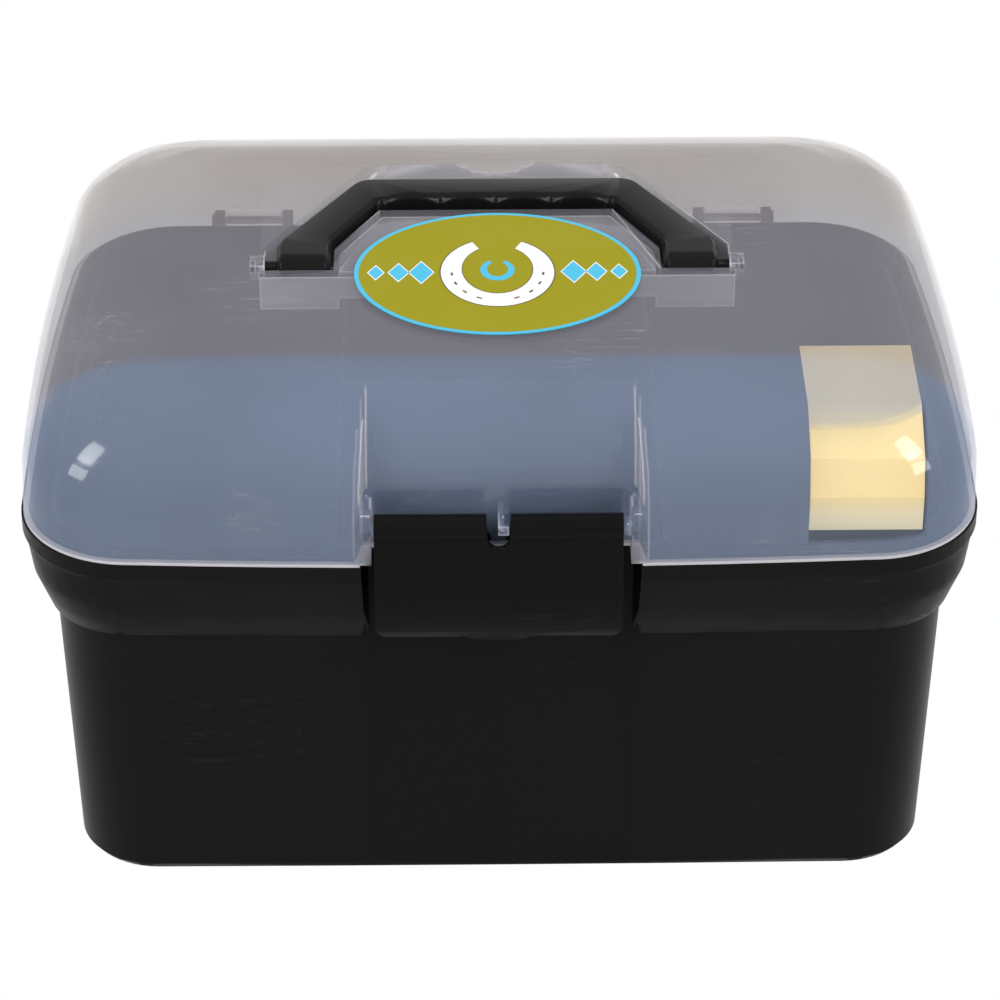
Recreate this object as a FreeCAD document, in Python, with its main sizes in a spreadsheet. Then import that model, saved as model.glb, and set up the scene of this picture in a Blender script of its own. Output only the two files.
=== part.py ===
import FreeCAD, Part
import math
import os
import re
import Sketcher
from FreeCAD import Placement, Rotation, Vector

# Horse grooming box: a moulded tub, a domed lid with a sunk carry handle, a wide front latch,
# a lift-out tray and the small pieces that go with them.
# Millimetres, +Z up, front towards -Y, origin at the middle of the flat underside.

doc = FreeCAD.newDocument("grooming_box")
sheet = doc.addObject("Spreadsheet::Sheet", "sizes")

SIZES = (
    # overall
    ("box_width", 340.0, "rim width of the tub"),
    ("box_depth", 244.0, "rim depth of the tub at the middle"),
    ("rim_height", 142.0, "height of the tub's rim"),
    ("lid_top", 199.0, "height of the lid's flat top"),
    # tub outlines, as insets from the rim
    ("floor_inset", 14.4, "inset of the underside"),
    ("wall_inset", 11.0, "inset of the wall just under the collar"),
    ("collar_inset", 8.5, "inset of the collar's lower edge"),
    ("collar_belly_inset", 3.4, "inset of the collar at mid height"),
    ("strip_inset", 0.8, "inset of the collar just under the rim strip"),
    ("collar_height", 33.5, "rim down to the collar's lower edge"),
    ("strip_height", 5.6, "height of the rim strip"),
    ("wall_corner", 28.0, "plan corner radius of the tub's wall"),
    ("rim_corner", 40.0, "plan corner radius at the rim"),
    ("floor_front_bow", 0.8, "rise of the front edge's arc at the underside"),
    ("wall_front_bow", 2.6, "rise of the front arc under the collar"),
    ("rim_front_bow", 5.6, "rise of the front arc at the rim"),
    ("floor_side_bow", 3.6, "rise of the side edge's arc at the underside"),
    ("wall_side_bow", 4.4, "rise of the side arc under the collar"),
    ("rim_side_bow", 5.2, "rise of the side arc at the rim"),
    ("widest_line", 46.0, "where the box is widest, forward of the middle"),
    ("foot_height", 3.0, "height of the bevel round the underside"),
    ("foot_inset", 1.6, "how far that bevel leans in"),
    ("tub_wall", 2.2, "wall of the tub"),
    ("tub_floor", 2.5, "floor of the tub"),
    ("rim_ledge", 4.5, "width of the rim's flat top"),
    ("locating_lip", 2.5, "height of the lip that centres the lid"),
    ("lip_width", 1.4, "thickness of that lip"),
    ("lip_break_side", 12.0, "how far the lip stops short of the panel, at each side"),
    # front channel of the tub
    ("panel_half", 46.5, "half width of the flush centre panel"),
    ("panel_set_back", 15.0, "panel behind the front of the rim"),
    ("collar_flare", 2.2, "widening of the channel across the collar"),
    ("step_flare", 6.0, "widening of the soft step beside the panel"),
    ("catch_half", 36.0, "half length of the catch ledge"),
    ("catch_reach", 8.7, "how far the catch ledge stands off the panel"),
    ("catch_drop", 18.0, "rim down to the top of the catch ledge"),
    ("catch_height", 3.2, "height of the catch ledge"),
    # lid
    ("lid_wall", 1.8, "wall of the lid"),
    ("lid_inset", 0.8, "inset of the lid's lower edge"),
    ("lid_crease_inset", 1.6, "inset where the upright band ends"),
    ("lid_band", 21.5, "height of the upright band"),
    ("lid_seat_gap", 0.2, "clearance between lid and rim"),
    ("dome_front", 50.0, "how far the dome leans in at the front"),
    ("dome_side", 49.0, "how far the dome leans in at each side"),
    ("dome_back", 46.0, "how far the dome leans in at the back"),
    ("crown_corner", 19.0, "plan corner radius of the flat top"),
    ("crown_front_bow", 2.6, "rise of the front arc of the flat top"),
    ("crown_side_bow", 5.0, "rise of the side arc of the flat top"),
    ("channel_half", 46.6, "half width of the lid's front channel at its floor"),
    ("channel_set_back", 14.0, "channel floor behind the front of the rim"),
    ("channel_radius", 34.0, "radius that turns the channel floor into the top"),
    ("channel_flare", 3.0, "widening of the channel at the lid's face"),
    ("channel_depth", 15.0, "depth over which it widens"),
    # handle
    ("handle_thick", 12.0, "thickness of the handle"),
    ("handle_proud", 3.5, "how far the folded handle stands above the lid"),
    ("pivot_line", -5.9, "place of the handle's pivot axis, front to back"),
    ("arm_outer", 80.0, "half width over the arm ends"),
    ("arm_inner", 60.5, "half width between the arm ends"),
    ("arm_straight", 10.0, "straight length of the arm ends past the pivot"),
    ("grip_outer", 51.5, "half width of the grip's back edge"),
    ("grip_inner", 44.5, "half width of the grip's front edge"),
    ("grip_back", 51.5, "back edge of the grip"),
    ("grip_front", 33.2, "front edge of the grip"),
    ("grip_back_corner", 10.0, "outer corner radius of the grip"),
    ("finger_pitch", 20.5, "distance between finger grooves"),
    ("finger_radius", 15.7, "radius of a finger groove"),
    ("finger_depth", 4.2, "depth of a finger groove"),
    ("handle_bevel", 2.1, "bevel of the handle's edges"),
    ("ridge_radius", 2.3, "rounding of the ridges between the finger grooves"),
    ("stud_radius", 2.5, "radius of the handle's pivot studs"),
    ("stud_reach", 3.4, "how far a stud goes into its boss"),
    ("stud_clearance", 0.05, "radial clearance of the studs"),
    ("stud_end_gap", 0.4, "gap at the end of a stud"),
    # trough of the handle
    ("trough_depth", 9.0, "depth of the handle's trough"),
    ("pocket_depth", 13.4, "depth of the pockets for the arm ends"),
    ("trough_half", 84.2, "half width of the trough at the pockets"),
    ("trough_front_gap", 0.6, "clearance in front of the arm ends"),
    ("trough_shoulder", 5.0, "where the trough's side starts to slant"),
    ("trough_back_half", 47.0, "half width of the trough at the back"),
    ("trough_back", 68.5, "back edge of the trough"),
    ("trough_corner", 12.0, "corner radius of the trough at the back"),
    ("island_gap", 1.3, "gap between the grip and the island in front of it"),
    ("scoop_radius", 30.0, "radius of the finger scoop behind the grip"),
    ("scoop_centre", 55.0, "place of the scoop's centre, front to back"),
    ("scoop_gap", 0.3, "height of the scoop's lowest point above the trough's floor"),
    ("boss_radius", 4.4, "radius of the bosses that hold the studs"),
    # latch
    ("latch_width", 86.2, "width of the latch"),
    ("latch_shift", -0.9, "side play that the latch has taken up"),
    ("latch_set_back", 5.5, "latch's axis behind the front of the rim"),
    ("latch_pivot_rise", 14.0, "height of the latch's axis above the rim"),
    ("latch_barrel", 4.7, "radius of the latch's barrel"),
    ("belly_proud", 3.6, "latch's belly in front of the rim"),
    ("toe_proud", 0.6, "latch's lower edge in front of the rim"),
    ("latch_drop", 28.0, "rim down to the latch's lower edge"),
    ("latch_plate", 2.4, "thickness of the latch's plate"),
    ("latch_corner", 5.0, "corner radius of the latch, seen from the front"),
    ("latch_flange", 6.0, "depth of the latch's side flanges"),
    ("latch_lip_gap", 0.3, "gap between the latch's lip and the catch ledge"),
    ("latch_lip_height", 3.0, "height of the latch's inner lip"),
    ("notch_half", 4.2, "half width of the notch in the latch"),
    ("notch_drop", 5.6, "depth of the notch below the latch's axis"),
    ("scallop_radius", 57.0, "radius of the finger scallop under the latch"),
    ("scallop_half", 15.0, "half width of that scallop"),
    ("latch_pin_radius", 2.0, "radius of the lid's latch pins"),
    ("latch_pin_clearance", 0.05, "radial clearance of the latch pins"),
    ("latch_pin_reach", 5.0, "how far a latch pin goes into the latch"),
    ("latch_boss_radius", 3.4, "radius of the collar at a latch pin's root"),
    ("latch_side_gap", 0.3, "gap between that collar and the latch"),
    ("tab_place", 0.8, "middle of the lid's centre tab, off the middle"),
    ("tab_half", 1.9, "half width of the lid's centre tab"),
    ("tab_reach", 2.5, "how far the tab reaches in front of the latch's axis"),
    ("tab_rise", 5.0, "root of the tab above the latch's axis"),
    ("cheek_inner", 45.1, "half width between the lid's cheeks at the latch"),
    ("cheek_rise", 7.0, "cheeks above the latch's axis"),
    ("cheek_set_back", 2.6, "cheeks behind the front of the rim"),
    ("cheek_round", 4.0, "rounding of the cheeks' upper corner"),
    ("toe_bulge", 2.5, "finger lip below the latch's lower edge"),
    # rear hinge
    ("hinge_offset", 4.7, "hinge axis behind the rim"),
    ("hinge_rise", 0.8, "hinge axis above the rim"),
    ("hinge_spacing", 95.0, "middle of a hinge from the middle of the box"),
    ("knuckle_length", 22.0, "length of the lid's knuckle"),
    ("knuckle_radius", 4.0, "radius of knuckle and ears"),
    ("ear_thick", 4.0, "thickness of a hinge ear"),
    ("ear_gap", 0.4, "gap between knuckle and ear"),
    ("ear_drop", 24.0, "foot of an ear's gusset below the rim"),
    ("ear_root", 2.0, "how deep the gusset is rooted in the collar"),
    ("web_rise", 9.0, "top of the knuckle's web above the hinge axis"),
    ("pin_radius", 1.5, "radius of a hinge pin"),
    ("pin_clearance", 0.05, "radial clearance of a hinge pin in the knuckle"),
    ("pin_head_radius", 2.6, "radius of a hinge pin's head"),
    ("pin_head_thick", 1.2, "thickness of a hinge pin's head"),
    # tray
    ("tray_clearance", 1.6, "gap between the tray and the tub's wall"),
    ("tray_panel_gap", 0.6, "gap between the tray and the tub's centre panel"),
    ("tray_shoulder", 2.8, "width of the shoulder that rests on the tub's ledge"),
    ("tray_depth", 22.0, "depth of the tray below its shoulder"),
    ("tray_rise", 29.0, "height of the tray above its shoulder"),
    ("tray_flare", 2.0, "flare of the tray's upper part"),
    ("tray_draft", 1.5, "draft of the tray's lower part"),
    ("tray_corner", 33.0, "plan corner radius of the tray"),
    ("tray_bow", 0.6, "rise of the tray's front arc"),
    ("tray_wall", 1.8, "wall of the tray"),
    ("tray_seat_gap", 0.3, "clearance under the tray's shoulder"),
    ("divider_place", 58.0, "place of the tray's cross dividers"),
    ("divider_drop", 2.0, "top of a divider below the tray's rim"),
    ("bridge_rise", 3.0, "lifting bridge above the tray's rim"),
    ("bridge_thick", 9.0, "thickness of the lifting bridge"),
    ("bridge_half", 46.0, "half length of the finger slot in the bridge"),
    ("bridge_bar", 11.0, "height of the bar over the finger slot"),
    ("slot_height", 24.0, "height of the finger slot"),
    # label and card
    ("label_width", 103.5, "width of the oval label"),
    ("label_height", 88.0, "height of the oval label"),
    ("label_centre", -15.2, "centre of the label, front to back"),
    ("label_thick", 0.3, "thickness of the label"),
    ("card_margin", 23.5, "card's outer edge inside the side of the rim"),
    ("card_width", 39.5, "width of the card"),
    ("card_rise", 8.0, "card's lower edge above the rim"),
    ("card_reach", 74.0, "how far back the card's fold reaches from the front of the rim"),
    ("card_gap", 0.3, "clearance between the card and the lid"),
    ("card_thick", 0.8, "thickness of the card"),
)

# places that follow from sizes, measured from the middle of the box
PLACES = {
    "panel_plane": "(box_depth / 2 - panel_set_back)",
    "channel_plane": "(box_depth / 2 - channel_set_back)",
    "latch_pivot_line": "(box_depth / 2 - latch_set_back)",
    "latch_belly": "(box_depth / 2 + belly_proud)",
    "latch_toe": "(box_depth / 2 + toe_proud)",
    "tray_half_width": "(box_width / 2 - wall_inset - tub_wall - tray_clearance)",
    "tray_back": "(box_depth / 2 - wall_inset - tub_wall - tray_clearance)",
    "tray_front": "(box_depth / 2 - panel_set_back - tub_wall - tray_panel_gap)",
    "card_right": "(box_width / 2 - card_margin)",
    "card_left": "(box_width / 2 - card_margin - card_width)",
}

NAMES = {name for name, number, note in SIZES}
for row, (name, number, note) in enumerate(SIZES, 1):
    sheet.set("A%d" % row, note)
    sheet.set("B%d" % row, str(number))
    sheet.setAlias("B%d" % row, name)
doc.recompute()


def linked(text):
    """An expression in which every size is read from the sheet."""
    text = re.sub(r"[a-z_]+", lambda m: PLACES.get(m.group(), m.group()), text)
    return re.sub(r"[a-z_]+", lambda m: "sizes." + m.group() if m.group() in NAMES else m.group(), text)


def value(text):
    """The number that such an expression gives now."""
    return float(sheet.evalExpression(linked(text).replace("sizes.", "")))


def bind(item, **expressions):
    """Tie properties of an object to the sheet; double underscores stand for dots."""
    for path, text in expressions.items():
        item.setExpression(path.replace("__", "."), linked(text))
    return item


def named_constraint(sketch, name, text, *parts):
    """A dimension of a sketch, tied to the sheet."""
    index = sketch.addConstraint(Sketcher.Constraint(*parts, value(text)))
    sketch.renameConstraint(index, name)
    sketch.setExpression("Constraints." + name, linked(text))


def pin_point(sketch, tag, piece, end, across, up):
    """Hold one end of a sketch element at two distances from the sketch's origin."""
    for kind, text, axis in (("DistanceX", across, -2), ("DistanceY", up, -1)):
        number = value(text)
        if abs(number) < 1e-9:
            sketch.addConstraint(Sketcher.Constraint("PointOnObject", piece, end, axis))
        elif number > 0:
            named_constraint(sketch, tag + kind[-1], text, kind, -1, 1, piece, end)
        else:
            named_constraint(sketch, tag + kind[-1], "-(" + text + ")", kind, piece, end, -1, 1)


def draw_profile(sketch, points):
    """A closed profile through points (across, up) or (across, up, radius, turn).

    The last two say that an arc of that radius leads to the point, turning left (1) or right (-1).
    """
    places = [Vector(value(point[0]), value(point[1]), 0) for point in points]
    ends = []
    for index, point in enumerate(points):
        start = places[index - 1]
        stop = places[index]
        if len(point) == 2:
            sketch.addGeometry(Part.LineSegment(start, stop), False)
            ends.append((1, 2))
            continue
        radius = value(point[2])
        half = (stop - start).Length / 2
        along = (stop - start).normalize()
        left = Vector(-along.y, along.x, 0)
        centre = (start + stop) * 0.5 + left * (point[3] * math.sqrt(max(radius ** 2 - half ** 2, 0)))
        first, last = (start, stop) if point[3] > 0 else (stop, start)
        angles = [math.atan2(place.y - centre.y, place.x - centre.x) for place in (first, last)]
        if angles[1] < angles[0]:
            angles[1] += 2 * math.pi
        circle = Part.Circle(centre, Vector(0, 0, 1), radius)
        sketch.addGeometry(Part.ArcOfCircle(circle, *angles), False)
        ends.append((1, 2) if point[3] > 0 else (2, 1))
    for index, point in enumerate(points):
        following = (index + 1) % len(points)
        joint = ("Coincident", index, ends[index][1], following, ends[following][0])
        sketch.addConstraint(Sketcher.Constraint(*joint))
        pin_point(sketch, "p%d" % index, index, ends[index][1], point[0], point[1])
        if len(point) == 4:
            named_constraint(sketch, "r%d" % index, point[2], "Radius", index)


PLAN = Rotation()
SIDE = Rotation(Vector(0, 1, 0), Vector(0, 0, 1), Vector(1, 0, 0), "XYZ")


def free_sketch(label, turn, points, **place):
    """A profile on a plane of its own; place binds its origin, as in Placement__Base__z."""
    sketch = doc.addObject("Sketcher::SketchObject", label)
    sketch.Placement = Placement(Vector(), turn)
    draw_profile(sketch, points)
    return bind(sketch, **place)


# for each outline: the right front corner's centre and radius, then the front arc's
FRONT_ARCS = {}


def outline(label, height, inset, corner, front_bow, side_bow, front="", sides="", back=""):
    """The box's outline at one height: bowed front and sides, straight back, round corners.

    It lies inset from the rim's rectangle; front, sides and back add insets of their own.
    """
    half = "box_width / 2 - (%s)%s" % (inset, sides)
    ahead = "box_depth / 2 - (%s)%s" % (inset, front)
    behind = "box_depth / 2 - (%s)%s" % (inset, back)
    front_radius = "((box_width / 2)^2 + (%s)^2) / (2 * (%s))" % (front_bow, front_bow)
    side_radius = "((box_depth / 2)^2 + (%s)^2) / (2 * (%s))" % (side_bow, side_bow)
    big, small, round_ = value(front_radius), value(side_radius), value(corner)
    front_centre = Vector(0, big - value(ahead), 0)
    side_centre = Vector(value(half) - small, -value("widest_line"), 0)
    # the corner circle touches both arcs from inside: two circles meet at its centre
    between = side_centre - front_centre
    span = between.Length
    reach = (span ** 2 + (big - round_) ** 2 - (small - round_) ** 2) / (2 * span)
    height_over = math.sqrt((big - round_) ** 2 - reach ** 2)
    along = between.normalize()
    across = Vector(-along.y, along.x, 0)
    choices = [front_centre + along * reach + across * (sign * height_over) for sign in (1, -1)]
    near = max(choices, key=lambda place: place.x - place.y)
    FRONT_ARCS[label] = ((near, round_), (front_centre, big))
    far = Vector(side_centre.x, value(behind) - round_, 0)
    far.x += math.sqrt((small - round_) ** 2 - (far.y - side_centre.y) ** 2)
    joints = [
        front_centre + (near - front_centre).normalize() * big,
        side_centre + (near - side_centre).normalize() * small,
        side_centre + (far - side_centre).normalize() * small,
        Vector(far.x, far.y + round_, 0),
    ]
    mirrored = [Vector(-place.x, place.y, 0) for place in joints]
    other_side = Vector(-side_centre.x, side_centre.y, 0)

    def arc(centre, radius, start, stop):
        angles = [math.atan2(place.y - centre.y, place.x - centre.x) for place in (start, stop)]
        if angles[1] < angles[0]:
            angles[1] += 2 * math.pi
        return Part.ArcOfCircle(Part.Circle(centre, Vector(0, 0, 1), radius), *angles)

    sketch = doc.addObject("Sketcher::SketchObject", label)
    pieces = (
        arc(front_centre, big, mirrored[0], joints[0]),
        arc(near, round_, joints[0], joints[1]),
        arc(side_centre, small, joints[1], joints[2]),
        arc(far, round_, joints[2], joints[3]),
        Part.LineSegment(joints[3], mirrored[3]),
        arc(Vector(-far.x, far.y, 0), round_, mirrored[3], mirrored[2]),
        arc(other_side, small, mirrored[2], mirrored[1]),
        arc(Vector(-near.x, near.y, 0), round_, mirrored[1], mirrored[0]),
    )
    for piece in pieces:
        sketch.addGeometry(piece, False)
    for index in range(8):
        sketch.addConstraint(Sketcher.Constraint("Tangent", index, 2, (index + 1) % 8, 1))
    for other in (3, 5, 7):
        sketch.addConstraint(Sketcher.Constraint("Equal", 1, other))
    sketch.addConstraint(Sketcher.Constraint("Equal", 2, 6))
    sketch.addConstraint(Sketcher.Constraint("PointOnObject", 0, 3, -2))
    sketch.addConstraint(Sketcher.Constraint("Horizontal", 4))
    named_constraint(sketch, "right_widest", "widest_line", "DistanceY", 2, 3, -1, 1)
    named_constraint(sketch, "left_widest", "widest_line", "DistanceY", 6, 3, -1, 1)
    named_constraint(sketch, "front_radius", front_radius, "Radius", 0)
    named_constraint(sketch, "front_centre", front_radius + " - (" + ahead + ")", "DistanceY", -1, 1, 0, 3)
    named_constraint(sketch, "corner_radius", corner, "Radius", 1)
    named_constraint(sketch, "side_radius", side_radius, "Radius", 2)
    named_constraint(sketch, "right_centre", side_radius + " - (" + half + ")", "DistanceX", 2, 3, -1, 1)
    named_constraint(sketch, "left_centre", side_radius + " - (" + half + ")", "DistanceX", -1, 1, 6, 3)
    named_constraint(sketch, "back_edge", behind, "DistanceY", -1, 1, 4, 1)
    return bind(sketch, Placement__Base__z=height)


def loft(label, sections):
    """A solid with straight walls from each section to the next."""
    item = doc.addObject("Part::Loft", label)
    item.Sections = sections
    item.Solid = True
    item.Ruled = True
    return item


def extrude(label, base, length):
    item = doc.addObject("Part::Extrusion", label)
    item.Base = base
    item.DirMode = "Normal"
    item.Solid = True
    return bind(item, LengthFwd=length)


def box(label, low, high):
    """A block between two corners, each corner three expressions."""
    item = doc.addObject("Part::Box", label)
    for axis, size, first, last in zip("xyz", ("Length", "Width", "Height"), low, high):
        item.setExpression("Placement.Base." + axis, linked(first))
        item.setExpression(size, linked("(" + last + ") - (" + first + ")"))
    return item


def rod(label, radius, start, stop, across, up):
    """A cylinder along X from start to stop at a place (across, up) in the side view."""
    item = doc.addObject("Part::Cylinder", label)
    item.Placement = Placement(Vector(), Rotation(Vector(0, 1, 0), 90))
    length = "(" + stop + ") - (" + start + ")"
    return bind(item, Radius=radius, Height=length, Placement__Base__x=start,
                Placement__Base__y=across, Placement__Base__z=up)


def ball(label, radius, across, up):
    item = doc.addObject("Part::Sphere", label)
    return bind(item, Radius=radius, Placement__Base__y=across, Placement__Base__z=up)


def cup(label, low_radius, high_radius, across, low, high):
    """An upright cone that widens from low to high."""
    item = doc.addObject("Part::Cone", label)
    return bind(item, Radius1=low_radius, Radius2=high_radius, Height="(%s) - (%s)" % (high, low),
                Placement__Base__y=across, Placement__Base__z=low)


def fuse(label, parts):
    item = doc.addObject("Part::MultiFuse", label)
    item.Shapes = parts
    return item


def cut(label, base, tool):
    item = doc.addObject("Part::Cut", label)
    item.Base = base
    item.Tool = tool
    return item


def offset(label, source, distance):
    """A closed wire moved outwards by a distance."""
    item = doc.addObject("Part::Offset2D", label)
    item.Source = source
    item.Join = "Intersection"
    return bind(item, Value=distance)


def round_edges(label, base, radius, chosen):
    """Fillet the edges that chosen accepts; the radius is read from the sheet."""
    doc.recompute()
    numbers = [index for index, edge in enumerate(base.Shape.Edges, 1) if chosen(edge)]
    item = doc.addObject("Part::Fillet", label)
    item.Base = base
    item.Edges = [(number, value(radius), value(radius)) for number in numbers]
    return item


# Tub: outer form

collar_low = "rim_height - collar_height"
strip_low = "rim_height - strip_height"
belly = "(%s + %s) / 2" % (collar_low, strip_low)
wall_form = loft("wall_form", [
    outline("sole_plan", "0", "floor_inset + foot_inset", "wall_corner", "floor_front_bow", "floor_side_bow"),
    outline("floor_plan", "foot_height", "floor_inset", "wall_corner", "floor_front_bow", "floor_side_bow"),
    outline("wall_plan", collar_low, "wall_inset", "wall_corner", "wall_front_bow", "wall_side_bow"),
])

middle_bow = "(wall_front_bow + rim_front_bow) / 2"
middle_side_bow = "(wall_side_bow + rim_side_bow) / 2"
middle_corner = "(wall_corner + rim_corner) / 2"
collar_form = loft("collar_form", [
    outline("collar_low_plan", collar_low, "collar_inset", "wall_corner + wall_inset - collar_inset",
            "wall_front_bow", "wall_side_bow"),
    outline("collar_belly_plan", belly, "collar_belly_inset", middle_corner, middle_bow, middle_side_bow),
    outline("collar_top_plan", strip_low, "strip_inset", "rim_corner - strip_inset",
            "rim_front_bow", "rim_side_bow"),
])
rim_plan = outline("rim_plan", strip_low, "0", "rim_corner", "rim_front_bow", "rim_side_bow")
strip_form = extrude("strip_form", rim_plan, "strip_height")

lip_inset = "rim_ledge - lip_width"
lip_plan = outline("lip_plan", "rim_height - lip_width", lip_inset, "rim_corner - (%s)" % lip_inset,
                   "rim_front_bow", "rim_side_bow")
lip_ring = extrude("lip_ring", lip_plan, "locating_lip + lip_width")
lip_break = box("lip_break", ("-(panel_half + lip_break_side)", "-box_depth", "rim_height"),
                ("panel_half + lip_break_side", "0", "rim_height + locating_lip + 1"))
lip_form = cut("lip_form", lip_ring, lip_break)


def panel_channel(tag, grow, low, high, flare, depth):
    """The upright channel in front of the centre panel, grown by a wall for the inner skin."""
    face = "-(panel_plane) + (%s)" % grow
    front = "-(box_depth / 2 + 5)"
    inner = "panel_half + (%s)" % grow
    outer = inner + " + %s * (box_depth / 2 + 5 - panel_plane + (%s)) / (%s)" % (flare, grow, depth)
    plan = free_sketch("channel_plan_" + tag, PLAN, [
        ("-(%s)" % outer, front), (outer, front), (inner, face), ("-(%s)" % inner, face),
    ], Placement__Base__z=low)
    return extrude("channel_" + tag, plan, "(%s) - (%s)" % (high, low))


wall_step = "box_depth / 2 - wall_inset - panel_plane"
over_rim = "rim_height + locating_lip + 1"
channel_cut = fuse("channel_cut", [
    panel_channel("low", "0", "-1", collar_low, "step_flare", wall_step),
    panel_channel("high", "0", collar_low, over_rim, "collar_flare", "box_depth / 2 - panel_plane"),
])
tub_outer = cut("tub_outer", fuse("tub_form", [wall_form, collar_form, strip_form, lip_form]), channel_cut)

# Tub: cavity, which widens behind the collar and leaves a ledge for the tray

ledge = collar_low + " + tub_wall"
lower_cavity = loft("lower_cavity", [
    outline("floor_inner_plan", "tub_floor", "floor_inset + tub_wall", "wall_corner - tub_wall",
            "floor_front_bow", "floor_side_bow"),
    outline("wall_inner_plan", ledge, "wall_inset + tub_wall", "wall_corner - tub_wall",
            "wall_front_bow", "wall_side_bow"),
])
upper_cavity = loft("upper_cavity", [
    outline("ledge_plan", ledge, "collar_inset + tub_wall", "rim_corner - rim_ledge",
            "wall_front_bow", "wall_side_bow"),
    outline("strip_inner_plan", strip_low, "rim_ledge", "rim_corner - rim_ledge",
            "rim_front_bow", "rim_side_bow"),
])
mouth_plan = outline("mouth_plan", strip_low, "rim_ledge", "rim_corner - rim_ledge",
                     "rim_front_bow", "rim_side_bow")
mouth = extrude("mouth", mouth_plan, "strip_height + locating_lip + 5")
channel_keep = fuse("channel_keep", [
    panel_channel("keep_low", "tub_wall", "-1", ledge, "step_flare", wall_step),
    panel_channel("keep_high", "tub_wall", ledge, over_rim + " + 5", "collar_flare",
                  "box_depth / 2 - panel_plane"),
])
cavity = cut("cavity", fuse("cavity_form", [lower_cavity, upper_cavity, mouth]), channel_keep)

# Tub: catch ledge behind the latch, with a rounded nose

catch_top = "rim_height - catch_drop"
catch_nose = "panel_plane + catch_reach"
catch_radius = "catch_height * 0.55"
catch_side = free_sketch("catch_side", SIDE, [
    ("-(panel_plane - tub_wall / 2)", catch_top + " - catch_height"),
    ("-(%s) + catch_height / 4" % catch_nose, catch_top + " - catch_height"),
    ("-(%s)" % catch_nose, catch_top + " - catch_height / 2", catch_radius, -1),
    ("-(%s) + catch_height / 4" % catch_nose, catch_top, catch_radius, -1),
    ("-(panel_plane - tub_wall / 2)", catch_top + " + catch_height"),
], Placement__Base__x="-catch_half")
catch_form = extrude("catch_form", catch_side, "2 * catch_half")

# Rear hinge: ears on the tub, knuckles on the lid

axis_back = "box_depth / 2 + hinge_offset"
axis_up = "rim_height + hinge_rise"


def ear_side(label, start):
    """Side view of a hinge ear: a gusset that grows out of the collar round the pin."""
    return free_sketch(label, SIDE, [
        ("box_depth / 2 - collar_inset - ear_root", "rim_height - ear_drop"),
        (axis_back + " + knuckle_radius", axis_up + " - 2"),
        (axis_back + " + knuckle_radius", axis_up),
        (axis_back, axis_up + " + knuckle_radius", "knuckle_radius", 1),
        (axis_back + " - knuckle_radius", axis_up, "knuckle_radius", 1),
        ("box_depth / 2 - 1", "rim_height - 0.5"),
        ("box_depth / 2 - 1", "rim_height - strip_height"),
    ], Placement__Base__x=start)


ears = []
ear_holes = []
for side, sign in (("left", "-1"), ("right", "1")):
    middle = "(%s) * hinge_spacing" % sign
    for number, start in enumerate((
            "%s - knuckle_length / 2 - ear_gap - ear_thick" % middle,
            "%s + knuckle_length / 2 + ear_gap" % middle)):
        tag = "ear_%s_%d" % (side, number)
        ears.append(extrude(tag, ear_side(tag + "_side", start), "ear_thick"))
    reach = "knuckle_length / 2 + ear_gap + ear_thick + 1"
    ear_holes.append(rod("ear_hole_" + side, "pin_radius", middle + " - (%s)" % reach,
                         middle + " + " + reach, axis_back, axis_up))

tub_solid = cut("tub_solid", fuse("tub_with_ears", [tub_outer] + ears),
                fuse("tub_hollows", [cavity] + ear_holes))
base_tub = fuse("base_tub", [tub_solid, catch_form])

# Lid: dome, banded through outlines that lean in by a quarter ellipse

lid_low = "rim_height + lid_seat_gap"
crease = "rim_height + lid_band"
OUTER_BANDS = 6
INNER_BANDS = 4


def dome(tag, skin, bottom, bands):
    """The dome's solid in a number of bands, its faces moved in by a skin thickness."""
    sections = [outline("%s_edge" % tag, bottom, "lid_inset + (%s)" % skin,
                        "rim_corner - lid_inset - (%s)" % skin, "rim_front_bow", "rim_side_bow")]
    for number in range(bands + 1):
        turn = math.pi / 2 * number / bands
        blend = "%.4f" % (1 - math.cos(turn))
        sections.append(outline(
            "%s_station_%d" % (tag, number),
            "%s + (lid_top - (%s) - (%s)) * %.4f" % (crease, skin, crease, math.sin(turn)),
            "lid_crease_inset + (%s)" % skin,
            "rim_corner + (crown_corner - rim_corner) * %s - lid_crease_inset * (1 - %s) - (%s)" % (
                blend, blend, skin),
            "rim_front_bow + (crown_front_bow - rim_front_bow) * " + blend,
            "rim_side_bow + (crown_side_bow - rim_side_bow) * " + blend,
            front=" - dome_front * " + blend,
            sides=" - dome_side * " + blend,
            back=" - dome_back * " + blend))
    return loft("%s_form" % tag, sections)


def channel_side(label, grow, ahead, place):
    """Side view of the lid's front channel, its floor turning into the top in a quarter circle."""
    radius = "channel_radius + (%s) - (%s)" % (ahead, grow)
    centre = "-(channel_plane - channel_radius)"
    rise = "lid_top - channel_radius"
    floor = "%s - (%s)" % (centre, radius)
    front = "-(box_depth / 2 + 30)"
    return free_sketch(label, SIDE, [
        (front, "rim_height - 10"),
        (floor, "rim_height - 10"),
        (floor, rise),
        (centre, "%s + (%s)" % (rise, radius), radius, -1),
        (centre, "lid_top + 40"),
        (front, "lid_top + 40"),
    ], Placement__Base__x=place)


def lid_channel(tag, grow):
    """The flared front channel, one ruled loft from side to side."""
    near = "channel_half + (%s)" % grow
    far = "%s + channel_flare" % near
    return loft("lid_channel_" + tag, [
        channel_side("lid_channel_%s_0" % tag, grow, "channel_depth", "-(%s)" % far),
        channel_side("lid_channel_%s_1" % tag, grow, "0", "-(%s)" % near),
        channel_side("lid_channel_%s_2" % tag, grow, "0", near),
        channel_side("lid_channel_%s_3" % tag, grow, "channel_depth", far),
    ])


# Lid: trough of the handle, outline and the island inside it

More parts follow.
